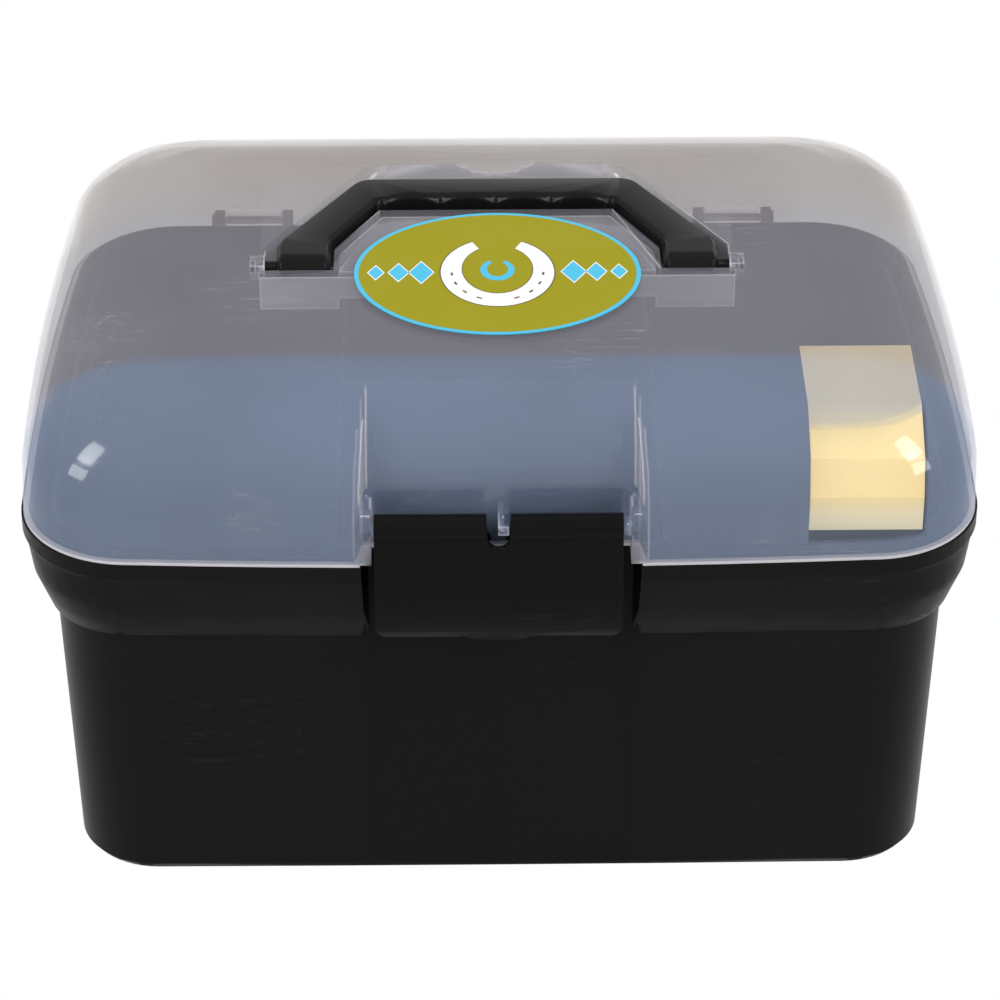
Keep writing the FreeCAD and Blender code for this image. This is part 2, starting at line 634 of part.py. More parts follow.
trough_front = "pivot_line - handle_thick / 2 - trough_front_gap"
trough_plan_points = [
    ("-trough_half", trough_front),
    ("trough_half", trough_front),
    ("trough_half", "trough_shoulder"),
    ("trough_back_half", "trough_back"),
    ("-trough_back_half", "trough_back"),
    ("-trough_half", "trough_shoulder"),
]
island_points = [
    ("-(arm_inner - island_gap)", trough_front),
    ("arm_inner - island_gap", trough_front),
    ("arm_inner - island_gap", "pivot_line + arm_straight - island_gap"),
    ("grip_inner - island_gap", "grip_front - island_gap"),
    ("-(grip_inner - island_gap)", "grip_front - island_gap"),
    ("-(arm_inner - island_gap)", "pivot_line + arm_straight - island_gap"),
]


def is_trough_back(edge):
    """The two upright edges at the back of the trough."""
    bounds = edge.BoundBox
    return bounds.ZLength > 1 and bounds.YLength < 0.01 and bounds.YMin > value("trough_back") - 1


def trough(tag, grow):
    """The hollow that the folded handle lies in, grown by a wall for the inner skin."""
    floor = "lid_top - trough_depth - (%s)" % grow
    height = "trough_depth + (%s) + 30" % grow
    plan = free_sketch("trough_plan_" + tag, PLAN, trough_plan_points, Placement__Base__z=floor)
    island = free_sketch("island_plan_" + tag, PLAN, island_points, Placement__Base__z=floor)
    if grow == "0":
        outer = extrude("trough_block_" + tag, plan, height)
        inner = extrude("island_block_" + tag, island, height)
    else:
        outer = extrude("trough_block_" + tag, offset("trough_offset_" + tag, plan, grow), height)
        shrunk = offset("island_offset_" + tag, island, "-(%s)" % grow)
        inner = extrude("island_block_" + tag, shrunk, height)
    outer = round_edges("trough_soft_" + tag, outer, "trough_corner + (%s)" % grow, is_trough_back)
    ring = cut("trough_ring_" + tag, outer, inner)
    parts = [ring]
    for side, low, high in (
            ("left", "-trough_half - (%s)" % grow, "-(arm_inner - island_gap) + (%s)" % grow),
            ("right", "arm_inner - island_gap - (%s)" % grow, "trough_half + (%s)" % grow)):
        parts.append(box("pocket_%s_%s" % (tag, side),
                         (low, trough_front + " - (%s)" % grow, "lid_top - pocket_depth - (%s)" % grow),
                         (high, "trough_shoulder + (%s)" % grow, "lid_top - trough_depth + 1")))
    return fuse("trough_" + tag, parts)


scoop_low = "lid_top - trough_depth + scoop_gap"
scoop = ball("scoop", "scoop_radius", "scoop_centre", scoop_low + " + scoop_radius")
scoop_rim = "sqrt(scoop_radius^2 - (scoop_radius - trough_depth + scoop_gap)^2)"
scoop_cup = cup("scoop_cup", scoop_rim + " * 0.6", scoop_rim + " + 1.7 * lid_wall", "scoop_centre",
                scoop_low + " - lid_wall", "lid_top")
lid_outer = cut("lid_outer", dome("lid_skin", "0", lid_low, OUTER_BANDS), fuse("lid_cuts", [
    lid_channel("cut", "0"), trough("cut", "0"), scoop]))
lid_inner = cut("lid_inner", dome("lid_hollow", "lid_wall", "rim_height - 5", INNER_BANDS),
                fuse("lid_keeps", [lid_channel("keep", "lid_wall"), trough("keep", "lid_wall"), scoop_cup]))

# Lid: bosses for the handle's studs, kept below the top

stud_up = "lid_top + handle_proud - handle_thick / 2"
stud_end = "trough_half + stud_reach"
bosses = []
stud_holes = []
for side, near, far, deep in (
        ("left", "-trough_half", "-(%s + lid_wall)" % stud_end, "-(%s + stud_end_gap)" % stud_end),
        ("right", "trough_half", "%s + lid_wall" % stud_end, "%s + stud_end_gap" % stud_end)):
    low, high = (far, near) if side == "left" else (near, far)
    bosses.append(rod("boss_" + side, "boss_radius", low, high, "pivot_line", stud_up))
    low, high = (deep, near + " + 1") if side == "left" else (near + " - 1", deep)
    stud_holes.append(rod("stud_hole_" + side, "stud_radius + stud_clearance", low, high,
                          "pivot_line", stud_up))

# Lid: pins and centre tab for the latch

latch_line = "-latch_pivot_line"
latch_up = "rim_height + latch_pivot_rise"
latch_left = "latch_shift - latch_width / 2"
latch_right = "latch_shift + latch_width / 2"
channel_side_wall = "channel_half + channel_flare * (latch_pivot_line - channel_plane) / channel_depth"
pins = [
    rod("latch_pin_left", "latch_pin_radius", "-(%s) - 1" % channel_side_wall,
        latch_left + " + latch_pin_reach", latch_line, latch_up),
    rod("latch_pin_right", "latch_pin_radius", latch_right + " - latch_pin_reach",
        channel_side_wall + " + 1", latch_line, latch_up),
    rod("latch_boss_left", "latch_boss_radius", "-(%s) - 1" % channel_side_wall,
        latch_left + " - latch_side_gap", latch_line, latch_up),
    rod("latch_boss_right", "latch_boss_radius", latch_right + " + latch_side_gap",
        channel_side_wall + " + 1", latch_line, latch_up),
]
tab_side = free_sketch("tab_side", SIDE, [
    ("-(channel_plane - lid_wall / 2)", latch_up + " + tab_rise"),
    ("-(channel_plane - lid_wall / 2)", latch_up + " - 2"),
    ("-(latch_pivot_line + tab_reach)", latch_up + " - 2"),
    ("-(latch_pivot_line + tab_reach)", latch_up + " + 1.5"),
], Placement__Base__x="tab_place - tab_half")
tab = extrude("tab", tab_side, "2 * tab_half")
cheek_front = "box_depth / 2 - cheek_set_back"
cheek_top = latch_up + " + cheek_rise"
for side, start, stop in (("left", "-(%s) - 0.8" % channel_side_wall, "-cheek_inner"),
                          ("right", "cheek_inner", channel_side_wall + " + 0.8")):
    cheek_side = free_sketch("cheek_side_" + side, SIDE, [
        ("-(channel_plane - lid_wall / 2)", lid_low),
        ("-(channel_plane - lid_wall / 2)", cheek_top),
        ("-(%s) + cheek_round" % cheek_front, cheek_top),
        ("-(%s)" % cheek_front, cheek_top + " - cheek_round", "cheek_round", 1),
        ("-(%s)" % cheek_front, lid_low),
    ], Placement__Base__x=start)
    pins.append(extrude("cheek_" + side, cheek_side, "(%s) - (%s)" % (stop, start)))

# Lid: hinge knuckles

knuckles = []
knuckle_holes = []
for side, sign in (("left", "-1"), ("right", "1")):
    start = "(%s) * hinge_spacing - knuckle_length / 2" % sign
    stop = start + " + knuckle_length"
    knuckles.append(rod("knuckle_" + side, "knuckle_radius", start, stop, axis_back, axis_up))
    web_side = free_sketch("web_side_" + side, SIDE, [
        ("box_depth / 2 - lid_crease_inset - lid_wall / 2", lid_low + " + 0.2"),
        (axis_back, lid_low + " + 0.2"),
        (axis_back + " + knuckle_radius * 0.7", axis_up + " + knuckle_radius * 0.7"),
        ("box_depth / 2 - lid_crease_inset - lid_wall / 2", axis_up + " + web_rise"),
    ], Placement__Base__x=start)
    knuckles.append(extrude("web_" + side, web_side, "knuckle_length"))
    knuckle_holes.append(rod("knuckle_hole_" + side, "pin_radius + pin_clearance",
                             start + " - 1", stop + " + 1", axis_back, axis_up))

lid_shell = cut("lid_shell", lid_outer, lid_inner)
lid_fitted = fuse("lid_fitted", [lid_shell, tab] + bosses + pins + knuckles)
lid = cut("lid", lid_fitted, fuse("lid_holes", stud_holes + knuckle_holes))

# Carry handle


def new_body(label):
    body = doc.addObject("PartDesign::Body", label)
    planes = {item.Role: item for item in body.Origin.OriginFeatures}
    return body, planes


def body_sketch(body, planes, role, label, points, height):
    """A profile on one of the body's own planes, moved along its normal."""
    sketch = body.newObject("Sketcher::SketchObject", label)
    sketch.AttachmentSupport = (planes[role], "")
    sketch.MapMode = "FlatFace"
    draw_profile(sketch, points)
    return bind(sketch, AttachmentOffset__Base__z=height)


def feature(body, kind, label, profile, **sizes):
    item = body.newObject("PartDesign::" + kind, label)
    item.Profile = profile
    bind(item, **sizes)
    doc.recompute()
    return item


def fillet(body, label, base, radius, chosen):
    item = body.newObject("PartDesign::Fillet", label)
    names = ["Edge%d" % index for index, edge in enumerate(base.Shape.Edges, 1) if chosen(edge)]
    item.Base = (base, names)
    bind(item, Radius=radius)
    doc.recompute()
    return item


handle, planes = new_body("carry_handle")
handle_low = "lid_top + handle_proud - handle_thick"
arm_end = "pivot_line - handle_thick / 2"
handle_plan = body_sketch(handle, planes, "XY_Plane", "handle_plan", [
    ("-arm_outer", arm_end),
    ("-arm_inner", arm_end),
    ("-arm_inner", "pivot_line + arm_straight"),
    ("-grip_inner", "grip_front"),
    ("grip_inner", "grip_front"),
    ("arm_inner", "pivot_line + arm_straight"),
    ("arm_inner", arm_end),
    ("arm_outer", arm_end),
    ("arm_outer", "pivot_line + arm_straight"),
    ("grip_outer", "grip_back"),
    ("-grip_outer", "grip_back"),
    ("-arm_outer", "pivot_line + arm_straight"),
], handle_low)
handle_pad = feature(handle, "Pad", "handle_pad", handle_plan, Length="handle_thick")

finger_plan = handle.newObject("Sketcher::SketchObject", "finger_plan")
finger_plan.AttachmentSupport = (planes["XY_Plane"], "")
finger_plan.MapMode = "FlatFace"
first_finger = "1.5 * finger_pitch"
finger_centre = "grip_front + finger_depth - finger_radius"
finger_plan.addGeometry(Part.Circle(Vector(-value(first_finger), value(finger_centre), 0),
                                    Vector(0, 0, 1), value("finger_radius")), False)
pin_point(finger_plan, "finger", 0, 3, "-(%s)" % first_finger, finger_centre)
named_constraint(finger_plan, "finger_radius", "finger_radius", "Radius", 0)
bind(finger_plan, AttachmentOffset__Base__z=handle_low)
finger_cut = feature(handle, "Pocket", "finger_cut", finger_plan, Length="handle_thick")
finger_cut.Reversed = True
doc.recompute()
fingers = handle.newObject("PartDesign::LinearPattern", "fingers")
fingers.Originals = [finger_cut]
fingers.Direction = (finger_plan, ["H_Axis"])
fingers.Occurrences = 4
bind(fingers, Length="3 * finger_pitch")
handle.Tip = fingers
doc.recompute()


def upright(edge, across, along, reach):
    bounds = edge.BoundBox
    return (bounds.ZLength > 1 and bounds.XLength < 0.01 and bounds.YLength < 0.01
            and abs(abs(bounds.XMin) - value(across)) < reach and abs(bounds.YMin - value(along)) < reach)


def is_ridge(edge):
    bounds = edge.BoundBox
    return (bounds.ZLength > 1 and bounds.XLength < 0.01 and bounds.YLength < 0.01
            and abs(bounds.YMin - value("grip_front")) < 1.5 and abs(bounds.XMin) < value("grip_inner") - 1)


ridges = fillet(handle, "ridges", fingers, "ridge_radius", is_ridge)
back_corners = fillet(handle, "back_corners", ridges, "grip_back_corner",
                      lambda edge: upright(edge, "grip_outer", "grip_back", 0.01))
elbows = fillet(handle, "elbows", back_corners, "grip_back_corner",
                lambda edge: upright(edge, "arm_outer", "pivot_line + arm_straight", 0.01)
                or upright(edge, "arm_inner", "pivot_line + arm_straight", 0.01))
heels = fillet(handle, "heels", elbows, "handle_thick / 2 - 0.05",
               lambda edge: abs(edge.BoundBox.YMin - value(arm_end)) < 0.01
               and edge.BoundBox.YLength < 0.01 and edge.BoundBox.ZLength < 0.01)


def is_rim(edge):
    """Edges of the handle's upper and lower faces, past the straight arm ends."""
    bounds = edge.BoundBox
    flat = bounds.ZLength < 0.01
    levels = (value(handle_low), value(handle_low + " + handle_thick"))
    on_face = min(abs(bounds.ZMin - level) for level in levels) < 0.01
    return flat and on_face and bounds.YMin > value("pivot_line") - 0.5


bevel = handle.newObject("PartDesign::Chamfer", "bevel")
bevel.Base = (heels, ["Edge%d" % index for index, edge in enumerate(heels.Shape.Edges, 1) if is_rim(edge)])
bind(bevel, Size="handle_bevel")
doc.recompute()

stud_plan = handle.newObject("Sketcher::SketchObject", "stud_side")
stud_plan.AttachmentSupport = (planes["YZ_Plane"], "")
stud_plan.MapMode = "FlatFace"
stud_plan.addGeometry(Part.Circle(Vector(value("pivot_line"), value(stud_up), 0),
                                  Vector(0, 0, 1), value("stud_radius")), False)
pin_point(stud_plan, "stud", 0, 3, "pivot_line", stud_up)
named_constraint(stud_plan, "stud_radius", "stud_radius", "Radius", 0)
bind(stud_plan, AttachmentOffset__Base__z="arm_outer - 1")
studs = feature(handle, "Pad", "stud", stud_plan, Length="trough_half + stud_reach - arm_outer + 1")
both_studs = handle.newObject("PartDesign::Mirrored", "both_studs")
both_studs.Originals = [studs]
both_studs.MirrorPlane = (planes["YZ_Plane"], [""])
handle.Tip = both_studs
doc.recompute()

# Front latch

latch, planes = new_body("front_latch")
toe_up = "rim_height - latch_drop"
belly_up = "(%s + %s) / 2 - 1" % (latch_up, toe_up)
face_top = "%s - 0.4 * latch_barrel" % latch_up


def arc_radius(top_line, top, middle_line, middle, low_line, low):
    """Radius of the circle through three places of the side view, as an expression-free number."""
    a = Vector(value(top_line), value(top), 0)
    b = Vector(value(middle_line), value(middle), 0)
    c = Vector(value(low_line), value(low), 0)
    area = abs((b - a).cross(c - a).z) / 2
    return (b - a).Length * (c - b).Length * (a - c).Length / (4 * area)


outer_top = "-(latch_pivot_line + latch_barrel * 0.916)"
outer_radius = "%.3f" % arc_radius(outer_top, face_top, "-latch_belly", belly_up, "-latch_toe", toe_up)
latch_side = body_sketch(latch, planes, "YZ_Plane", "latch_side", [
    (outer_top, face_top),
    ("-latch_toe", toe_up, outer_radius, 1),
    ("-latch_toe + latch_plate", toe_up),
    (outer_top + " + latch_plate", face_top, outer_radius + " - latch_plate", -1),
], latch_left)
latch_plate = feature(latch, "Pad", "latch_plate", latch_side, Length="latch_width")
barrel_side = latch.newObject("Sketcher::SketchObject", "barrel_side")
barrel_side.AttachmentSupport = (planes["YZ_Plane"], "")
barrel_side.MapMode = "FlatFace"
barrel_side.addGeometry(Part.Circle(Vector(value(latch_line), value(latch_up), 0),
                                    Vector(0, 0, 1), value("latch_barrel")), False)
pin_point(barrel_side, "barrel", 0, 3, latch_line, latch_up)
named_constraint(barrel_side, "barrel_radius", "latch_barrel", "Radius", 0)
bind(barrel_side, AttachmentOffset__Base__z=latch_left)
latch_barrel = feature(latch, "Pad", "barrel", barrel_side, Length="latch_width")

for side, start in (("left", latch_left), ("right", latch_right + " - latch_plate")):
    flange_side = body_sketch(latch, planes, "YZ_Plane", "flange_side_" + side, [
        (outer_top + " + latch_plate / 2", face_top),
        ("-latch_toe + latch_plate / 2", toe_up + " + 1", outer_radius + " - latch_plate / 2", 1),
        ("-latch_toe + latch_flange / 2 + latch_plate / 2", toe_up + " + 1"),
        ("-latch_pivot_line + latch_barrel / 2", latch_up + " - latch_barrel / 2"),
    ], start)
    feature(latch, "Pad", "flange_" + side, flange_side, Length="latch_plate")

lip_reach = "-(%s) - latch_lip_gap" % catch_nose
lip_side = body_sketch(latch, planes, "YZ_Plane", "latch_lip_side", [
    ("-latch_toe + latch_plate / 2", toe_up + " + 1"),
    (lip_reach, toe_up + " + 1.6"),
    (lip_reach, toe_up + " + latch_lip_height"),
    ("-latch_toe + latch_plate / 2", toe_up + " + latch_lip_height + 2"),
], "latch_shift - catch_half")
latch_lip = feature(latch, "Pad", "latch_lip", lip_side, Length="2 * catch_half")

notch_front = body_sketch(latch, planes, "XZ_Plane", "notch_front", [
    ("latch_shift - notch_half", latch_up + " + latch_barrel + 1"),
    ("latch_shift - notch_half", latch_up + " - notch_drop + notch_half"),
    ("latch_shift", latch_up + " - notch_drop", "notch_half", 1),
    ("latch_shift + notch_half", latch_up + " - notch_drop + notch_half", "notch_half", 1),
    ("latch_shift + notch_half", latch_up + " + latch_barrel + 1"),
], "channel_plane")
notch = feature(latch, "Pocket", "notch", notch_front, Length="30")
notch.Reversed = True
doc.recompute()

bulge_front = body_sketch(latch, planes, "XZ_Plane", "bulge_front", [
    ("latch_shift - scallop_half", toe_up + " + 1"),
    ("latch_shift + scallop_half", toe_up + " + 1"),
    ("latch_shift + scallop_half", toe_up),
    ("latch_shift - scallop_half", toe_up, "(scallop_half^2 + toe_bulge^2) / (2 * toe_bulge)", -1),
], "latch_toe - latch_plate")
bulge = feature(latch, "Pad", "finger_bulge", bulge_front, Length="latch_plate * 0.6")
scallop_front = body_sketch(latch, planes, "XZ_Plane", "scallop_front", [
    ("latch_shift - scallop_half", toe_up + " - toe_bulge - 1"),
    ("latch_shift + scallop_half", toe_up + " - toe_bulge - 1"),
    ("latch_shift + scallop_half", toe_up),
    ("latch_shift - scallop_half", toe_up, "scallop_radius", 1),
], "latch_toe - latch_plate * 0.55")
scallop = feature(latch, "Pocket", "scallop", scallop_front, Length="20")
scallop.Reversed = True
doc.recompute()

hole_side = latch.newObject("Sketcher::SketchObject", "pin_hole_side")
hole_side.AttachmentSupport = (planes["YZ_Plane"], "")
hole_side.MapMode = "FlatFace"
hole_side.addGeometry(Part.Circle(Vector(value(latch_line), value(latch_up), 0), Vector(0, 0, 1),
                                  value("latch_pin_radius + latch_pin_clearance")), False)
pin_point(hole_side, "hole", 0, 3, latch_line, latch_up)
named_constraint(hole_side, "hole_radius", "latch_pin_radius + latch_pin_clearance", "Radius", 0)
bind(hole_side, AttachmentOffset__Base__z=latch_left)
bores = feature(latch, "Pocket", "pin_bores", hole_side, Length="latch_width")
bores.Reversed = True
doc.recompute()


def is_latch_corner(edge):
    """The lower corners of the latch as seen from the front."""
    bounds = edge.BoundBox
    at_end = min(abs(bounds.XMin - value(latch_left)), abs(bounds.XMax - value(latch_right))) < 0.01
    level = bounds.XLength < 0.01 and bounds.ZLength < 0.01
    return at_end and level and abs(bounds.ZMin - value(toe_up)) < 0.01


latch_corners = fillet(latch, "latch_corners", bores, "latch_corner", is_latch_corner)

# Hinge pins: a headed rod each, the head against the outer ear


def hinge_pin(side, sign):
    """A turned pin whose head lies on the outer side."""
    body, own_planes = new_body("hinge_pin_" + side)
    reach = "(knuckle_length / 2 + ear_gap + ear_thick)"
    head = "%s * (hinge_spacing + %s)" % (sign, reach)
    tail = "%s * (hinge_spacing - %s)" % (sign, reach)
    cap = "%s * (hinge_spacing + %s + pin_head_thick)" % (sign, reach)
    profile = body_sketch(body, own_planes, "XZ_Plane", "pin_profile_" + side, [
        (tail, axis_up),
        (cap, axis_up),
        (cap, axis_up + " + pin_head_radius"),
        (head, axis_up + " + pin_head_radius"),
        (head, axis_up + " + pin_radius"),
        (tail, axis_up + " + pin_radius"),
    ], "-(%s)" % axis_back)
    spin = body.newObject("PartDesign::Revolution", "pin_turned_" + side)
    spin.Profile = profile
    spin.ReferenceAxis = (profile, ["Edge2"])
    spin.Angle = 360
    doc.recompute()
    return body


hinge_pins = [hinge_pin("left", "-1"), hinge_pin("right", "1")]

# Lift-out tray: stepped shell whose shoulder rests on the tub's ledge


def tray_plan(label, height, inset, skin, ahead="0"):
    """The tray's outline: the tub's own, drawn in, with a flatter front that clears the tub's panel.

    The front keeps its line where the sides and the back step out over the ledge.
    """
    shrink = "box_width / 2 - tray_half_width + (%s) + (%s)" % (inset, skin)
    front = " - (box_depth / 2 - (%s) - tray_front + (%s) + (%s))" % (shrink, ahead, skin)
    back = " + (%s) - (box_depth / 2 - tray_back + (%s) + (%s))" % (shrink, inset, skin)
    return outline(label, height, shrink, "tray_corner - (%s)" % skin, "tray_bow", "wall_side_bow",
                   front=front, back=back)


shoulder_up = ledge + " + tray_seat_gap"
tray_low = shoulder_up + " - tray_depth"
tray_top = shoulder_up + " + tray_rise"
def tray_form(tag, skin, low, waist, top):
    """The tray's stepped solid, its faces moved in by a skin thickness."""
    return fuse("tray_" + tag, [
        loft("tray_lower_" + tag, [
            tray_plan("tray_floor_" + tag, low, "tray_draft", skin, "tray_draft"),
            tray_plan("tray_waist_" + tag, waist, "0", skin),
        ]),
        loft("tray_upper_" + tag, [
            tray_plan("tray_shoulder_" + tag, waist, "-tray_shoulder", skin),
            tray_plan("tray_rim_" + tag, top, "-tray_shoulder - tray_flare", skin),
        ]),
    ])


tray_outer = tray_form("skin", "0", tray_low, shoulder_up, tray_top)
tray_inner = tray_form("hollow", "tray_wall", tray_low + " + tray_wall", shoulder_up + " + tray_wall",
                       tray_top + " + 0.01")
dividers = []
for side, sign in (("left", "-1"), ("right", "1")):
    middle = "%s * divider_place" % sign
    dividers.append(box(
        "divider_" + side,
        (middle + " - tray_wall / 2", "-tray_front + tray_wall / 2", tray_low + " + tray_wall / 2"),
        (middle + " + tray_wall / 2", "tray_back - tray_wall / 2", tray_top + " - divider_drop")))
bridge = box("bridge",
             ("-divider_place", "-bridge_thick / 2", tray_low + " + tray_wall / 2"),
             ("divider_place", "bridge_thick / 2", tray_top + " + bridge_rise"))
slot_top = tray_top + " + bridge_rise - bridge_bar"
finger_slot = box("finger_slot", ("-bridge_half", "-bridge_thick", slot_top + " - slot_height"),
                  ("bridge_half", "bridge_thick", slot_top))


def is_bridge_top(edge):
    bounds = edge.BoundBox
    top = value(tray_top + " + bridge_rise")
    return abs(bounds.ZMax - top) < 0.01 and abs(bounds.ZMin - top) < 0.01


soft_bridge = round_edges("soft_bridge", bridge, "bridge_thick / 3", is_bridge_top)
soft_slot = round_edges("soft_slot", finger_slot, "slot_height / 3",
                        lambda edge: edge.BoundBox.YLength > 1 and edge.BoundBox.ZLength < 0.01)
tray_shell = cut("tray_shell", tray_outer, tray_inner)
tray = cut("lift_out_tray", fuse("tray_fitted", [tray_shell, soft_bridge] + dividers), soft_slot)

# Oval label on the lid's top

oval = doc.addObject("Part::Ellipse", "oval")
bind(oval, MajorRadius="label_width / 2", MinorRadius="label_height / 2",
     Placement__Base__y="label_centre", Placement__Base__z="lid_top")
label = extrude("oval_label", oval, "label_thick")

# Card behind the lid's front face, folded over at the top

# the stations of the dome's inner skin that the card touches before its fold
CARD_STATIONS = 3


def front_drop(label, across):
    """How far an outline's front edge lies behind its middle, at a distance from the middle."""
    (corner, corner_radius), (centre, radius) = FRONT_ARCS[label]
    if across > corner.x:
        centre, radius = corner, corner_radius
    front_arc = FRONT_ARCS[label][1]
    edge = centre.y - math.sqrt(radius ** 2 - (across - centre.x) ** 2)
    return edge - (front_arc[0].y - front_arc[1])


def card_side():
    """Side view of the card, a thin bent strip that follows the dome from inside."""
    low = "rim_height + card_rise"
    line = []
    for number in range(CARD_STATIONS):
        turn = math.pi / 2 * number / INNER_BANDS
        drop = front_drop("lid_hollow_station_%d" % number, value("card_right"))
        ahead = "box_depth / 2 - lid_crease_inset - lid_wall - card_gap - dome_front * %.4f - %.3f" % (
            1 - math.cos(turn), drop)
        up = "%s + (lid_top - lid_wall - (%s)) * %.4f - card_gap" % (crease, crease, math.sin(turn))
        line.append((ahead, up))
    foot = (line[0][0], low)
    fold = ("box_depth / 2 - card_reach", line[-1][1])
    outer = [foot] + line + [fold]
    inner = [("(%s) - card_thick" % ahead, up) for ahead, up in outer[:2]]
    inner.append(("(%s) - card_thick" % outer[2][0], outer[2][1]))
    inner.append(("(%s) - card_thick / 2" % outer[3][0], "%s - card_thick" % outer[3][1]))
    inner.append((fold[0], "%s - card_thick" % fold[1]))
    points = [("-(%s)" % ahead, up) for ahead, up in outer + inner[::-1]]
    return free_sketch("card_side", SIDE, points, Placement__Base__x="card_left")


card = extrude("folded_card", card_side(), "card_right - card_left")

# Check and write

doc.recompute()
parts = {
    "base_tub": base_tub,
    "lid": lid,
    "carry_handle": handle,
    "front_latch": latch,
    "hinge_pin_left": hinge_pins[0],
    "hinge_pin_right": hinge_pins[1],
    "lift_out_tray": tray,
    "oval_label": label,
    "folded_card": card,
}
broken = [item.Label for item in doc.Objects if "Invalid" in item.State or "Error" in item.State]
if broken:
    raise RuntimeError("not built: %s" % broken)
for name, item in parts.items():
    item.Label = name
    shape = item.Shape
    if shape.isNull() or not shape.isValid():
        raise RuntimeError(name + " has no valid shape")
    print(name, "solids", len(shape.Solids), "faces", len(shape.Faces), "volume %.0f" % shape.Volume)
os.makedirs("parts", exist_ok=True)
for name, item in parts.items():
    item.Shape.exportStep("parts/%s.step" % name)
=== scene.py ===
# %% [markdown]
# # A horse grooming box under studio light
# The box is moulded plastic: a glossy black tub, a milky see-through lid, a black carry handle that folds
# into a trough, a wide black latch, and a printed oval label. The solid model comes in as a fixed frame.
# This script gives every piece its finish, and builds the thin things that a solid model leaves out.

# %% Load the frame
import math

import bmesh
import bpy
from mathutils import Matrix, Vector


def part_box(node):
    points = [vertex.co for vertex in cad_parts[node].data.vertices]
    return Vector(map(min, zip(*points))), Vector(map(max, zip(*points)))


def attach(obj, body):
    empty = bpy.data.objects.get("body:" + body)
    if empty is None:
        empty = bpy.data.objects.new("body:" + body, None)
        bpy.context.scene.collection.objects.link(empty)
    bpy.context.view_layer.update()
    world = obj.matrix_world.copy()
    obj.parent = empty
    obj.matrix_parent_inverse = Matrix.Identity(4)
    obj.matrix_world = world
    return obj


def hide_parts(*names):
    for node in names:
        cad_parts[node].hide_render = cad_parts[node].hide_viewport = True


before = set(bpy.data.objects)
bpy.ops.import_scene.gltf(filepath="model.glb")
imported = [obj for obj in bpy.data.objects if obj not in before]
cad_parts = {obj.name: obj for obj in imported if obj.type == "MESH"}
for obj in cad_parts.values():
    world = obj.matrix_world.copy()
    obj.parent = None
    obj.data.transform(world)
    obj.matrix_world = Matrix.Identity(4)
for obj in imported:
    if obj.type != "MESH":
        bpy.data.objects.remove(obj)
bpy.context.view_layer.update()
MM = 0.001
print("nodes:", sorted(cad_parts))

# %% [markdown]
# Plastic parts want soft highlights that run over the mould's curves. The frame's meshes are loose
# triangles, so each node is copied, its doubled corners are merged, and it is shaded smooth except at
# real creases, with the largest faces weighing most. The copy stands for the node and rides on the
# same body.

# %% Dress a node
CREASE_ANGLE = math.radians(22)


def finish_mesh(mesh, angle=CREASE_ANGLE):
    """Merge doubled corners and shade smooth up to a crease angle."""
    work = bmesh.new()
    work.from_mesh(mesh)
    bmesh.ops.remove_doubles(work, verts=work.verts, dist=0.004 * MM)
    work.to_mesh(mesh)
    work.free()
    for face in mesh.polygons:
        face.use_smooth = True
    mesh.set_sharp_from_angle(angle=angle)


def weigh_normals(piece):
    """Let large faces set the shading, so that thin bands beside them don't ripple."""
    piece.modifiers.new("weighted", "WEIGHTED_NORMAL").keep_sharp = True
    bpy.context.view_layer.update()
    evaluated = piece.evaluated_get(bpy.context.evaluated_depsgraph_get())
    mesh = bpy.data.meshes.new_from_object(evaluated)
    piece.modifiers.clear()
    piece.data = mesh


def dress(node, body, material, angle=CREASE_ANGLE):
    """A smooth copy of a solid piece, in its finish."""
    piece = bpy.data.objects.new(node + "_finished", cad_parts[node].data.copy())
    bpy.context.scene.collection.objects.link(piece)
    finish_mesh(piece.data, angle)
    weigh_normals(piece)
    piece.data.materials.clear()
    piece.data.materials.append(material)
    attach(piece, body)
    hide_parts(node)
    print(node, "has", len(piece.data.polygons), "faces")


# %% [markdown]
# Materials are node trees. Small helpers keep them readable: one makes a node and fills its inputs,
# three build maths, colour mixes and smooth steps on it, one makes a material with its shader, and one
# reads object coordinates. An input takes a number, a colour, or another node's output.

# %% Node helpers


def add_node(tree, kind, settings=None, **inputs):
    """A node whose settings and inputs are given by name; underscores stand for spaces, iN for input N."""
    node = tree.nodes.new(kind)
    for name, choice in (settings or {}).items():
        setattr(node, name, choice)
    for name, content in inputs.items():
        key = int(name[1:]) if name[0] == "i" and name[1:].isdigit() else name.replace("_", " ")
        socket = node.inputs[key]
        if isinstance(content, bpy.types.NodeSocket):
            tree.links.new(content, socket)
        else:
            socket.default_value = content
    return node


def maths(tree, operation, first, second=0.0, clamp=False):
    settings = {"operation": operation, "use_clamp": clamp}
    return add_node(tree, "ShaderNodeMath", settings, i0=first, i1=second).outputs[0]


def blend(tree, factor, first, second):
    """A colour between two others."""
    node = add_node(tree, "ShaderNodeMix", {"data_type": "RGBA"}, i0=factor)
    for index, content in ((6, first), (7, second)):
        if isinstance(content, bpy.types.NodeSocket):
            tree.links.new(content, node.inputs[index])
        else:
            node.inputs[index].default_value = content
    return node.outputs[2]


def ramp(tree, source, low, high, start=0.0, stop=1.0):
    """A smooth step from start to stop as source goes from low to high."""
    node = add_node(tree, "ShaderNodeMapRange", {"interpolation_type": "SMOOTHSTEP"},
                    Value=source, From_Min=low, From_Max=high, To_Min=start, To_Max=stop)
    return node.outputs["Result"]


def new_material(name):
    material = bpy.data.materials.new(name)
    material.use_nodes = True
    tree = material.node_tree
    shader = tree.nodes["Principled BSDF"]
    return material, tree, shader


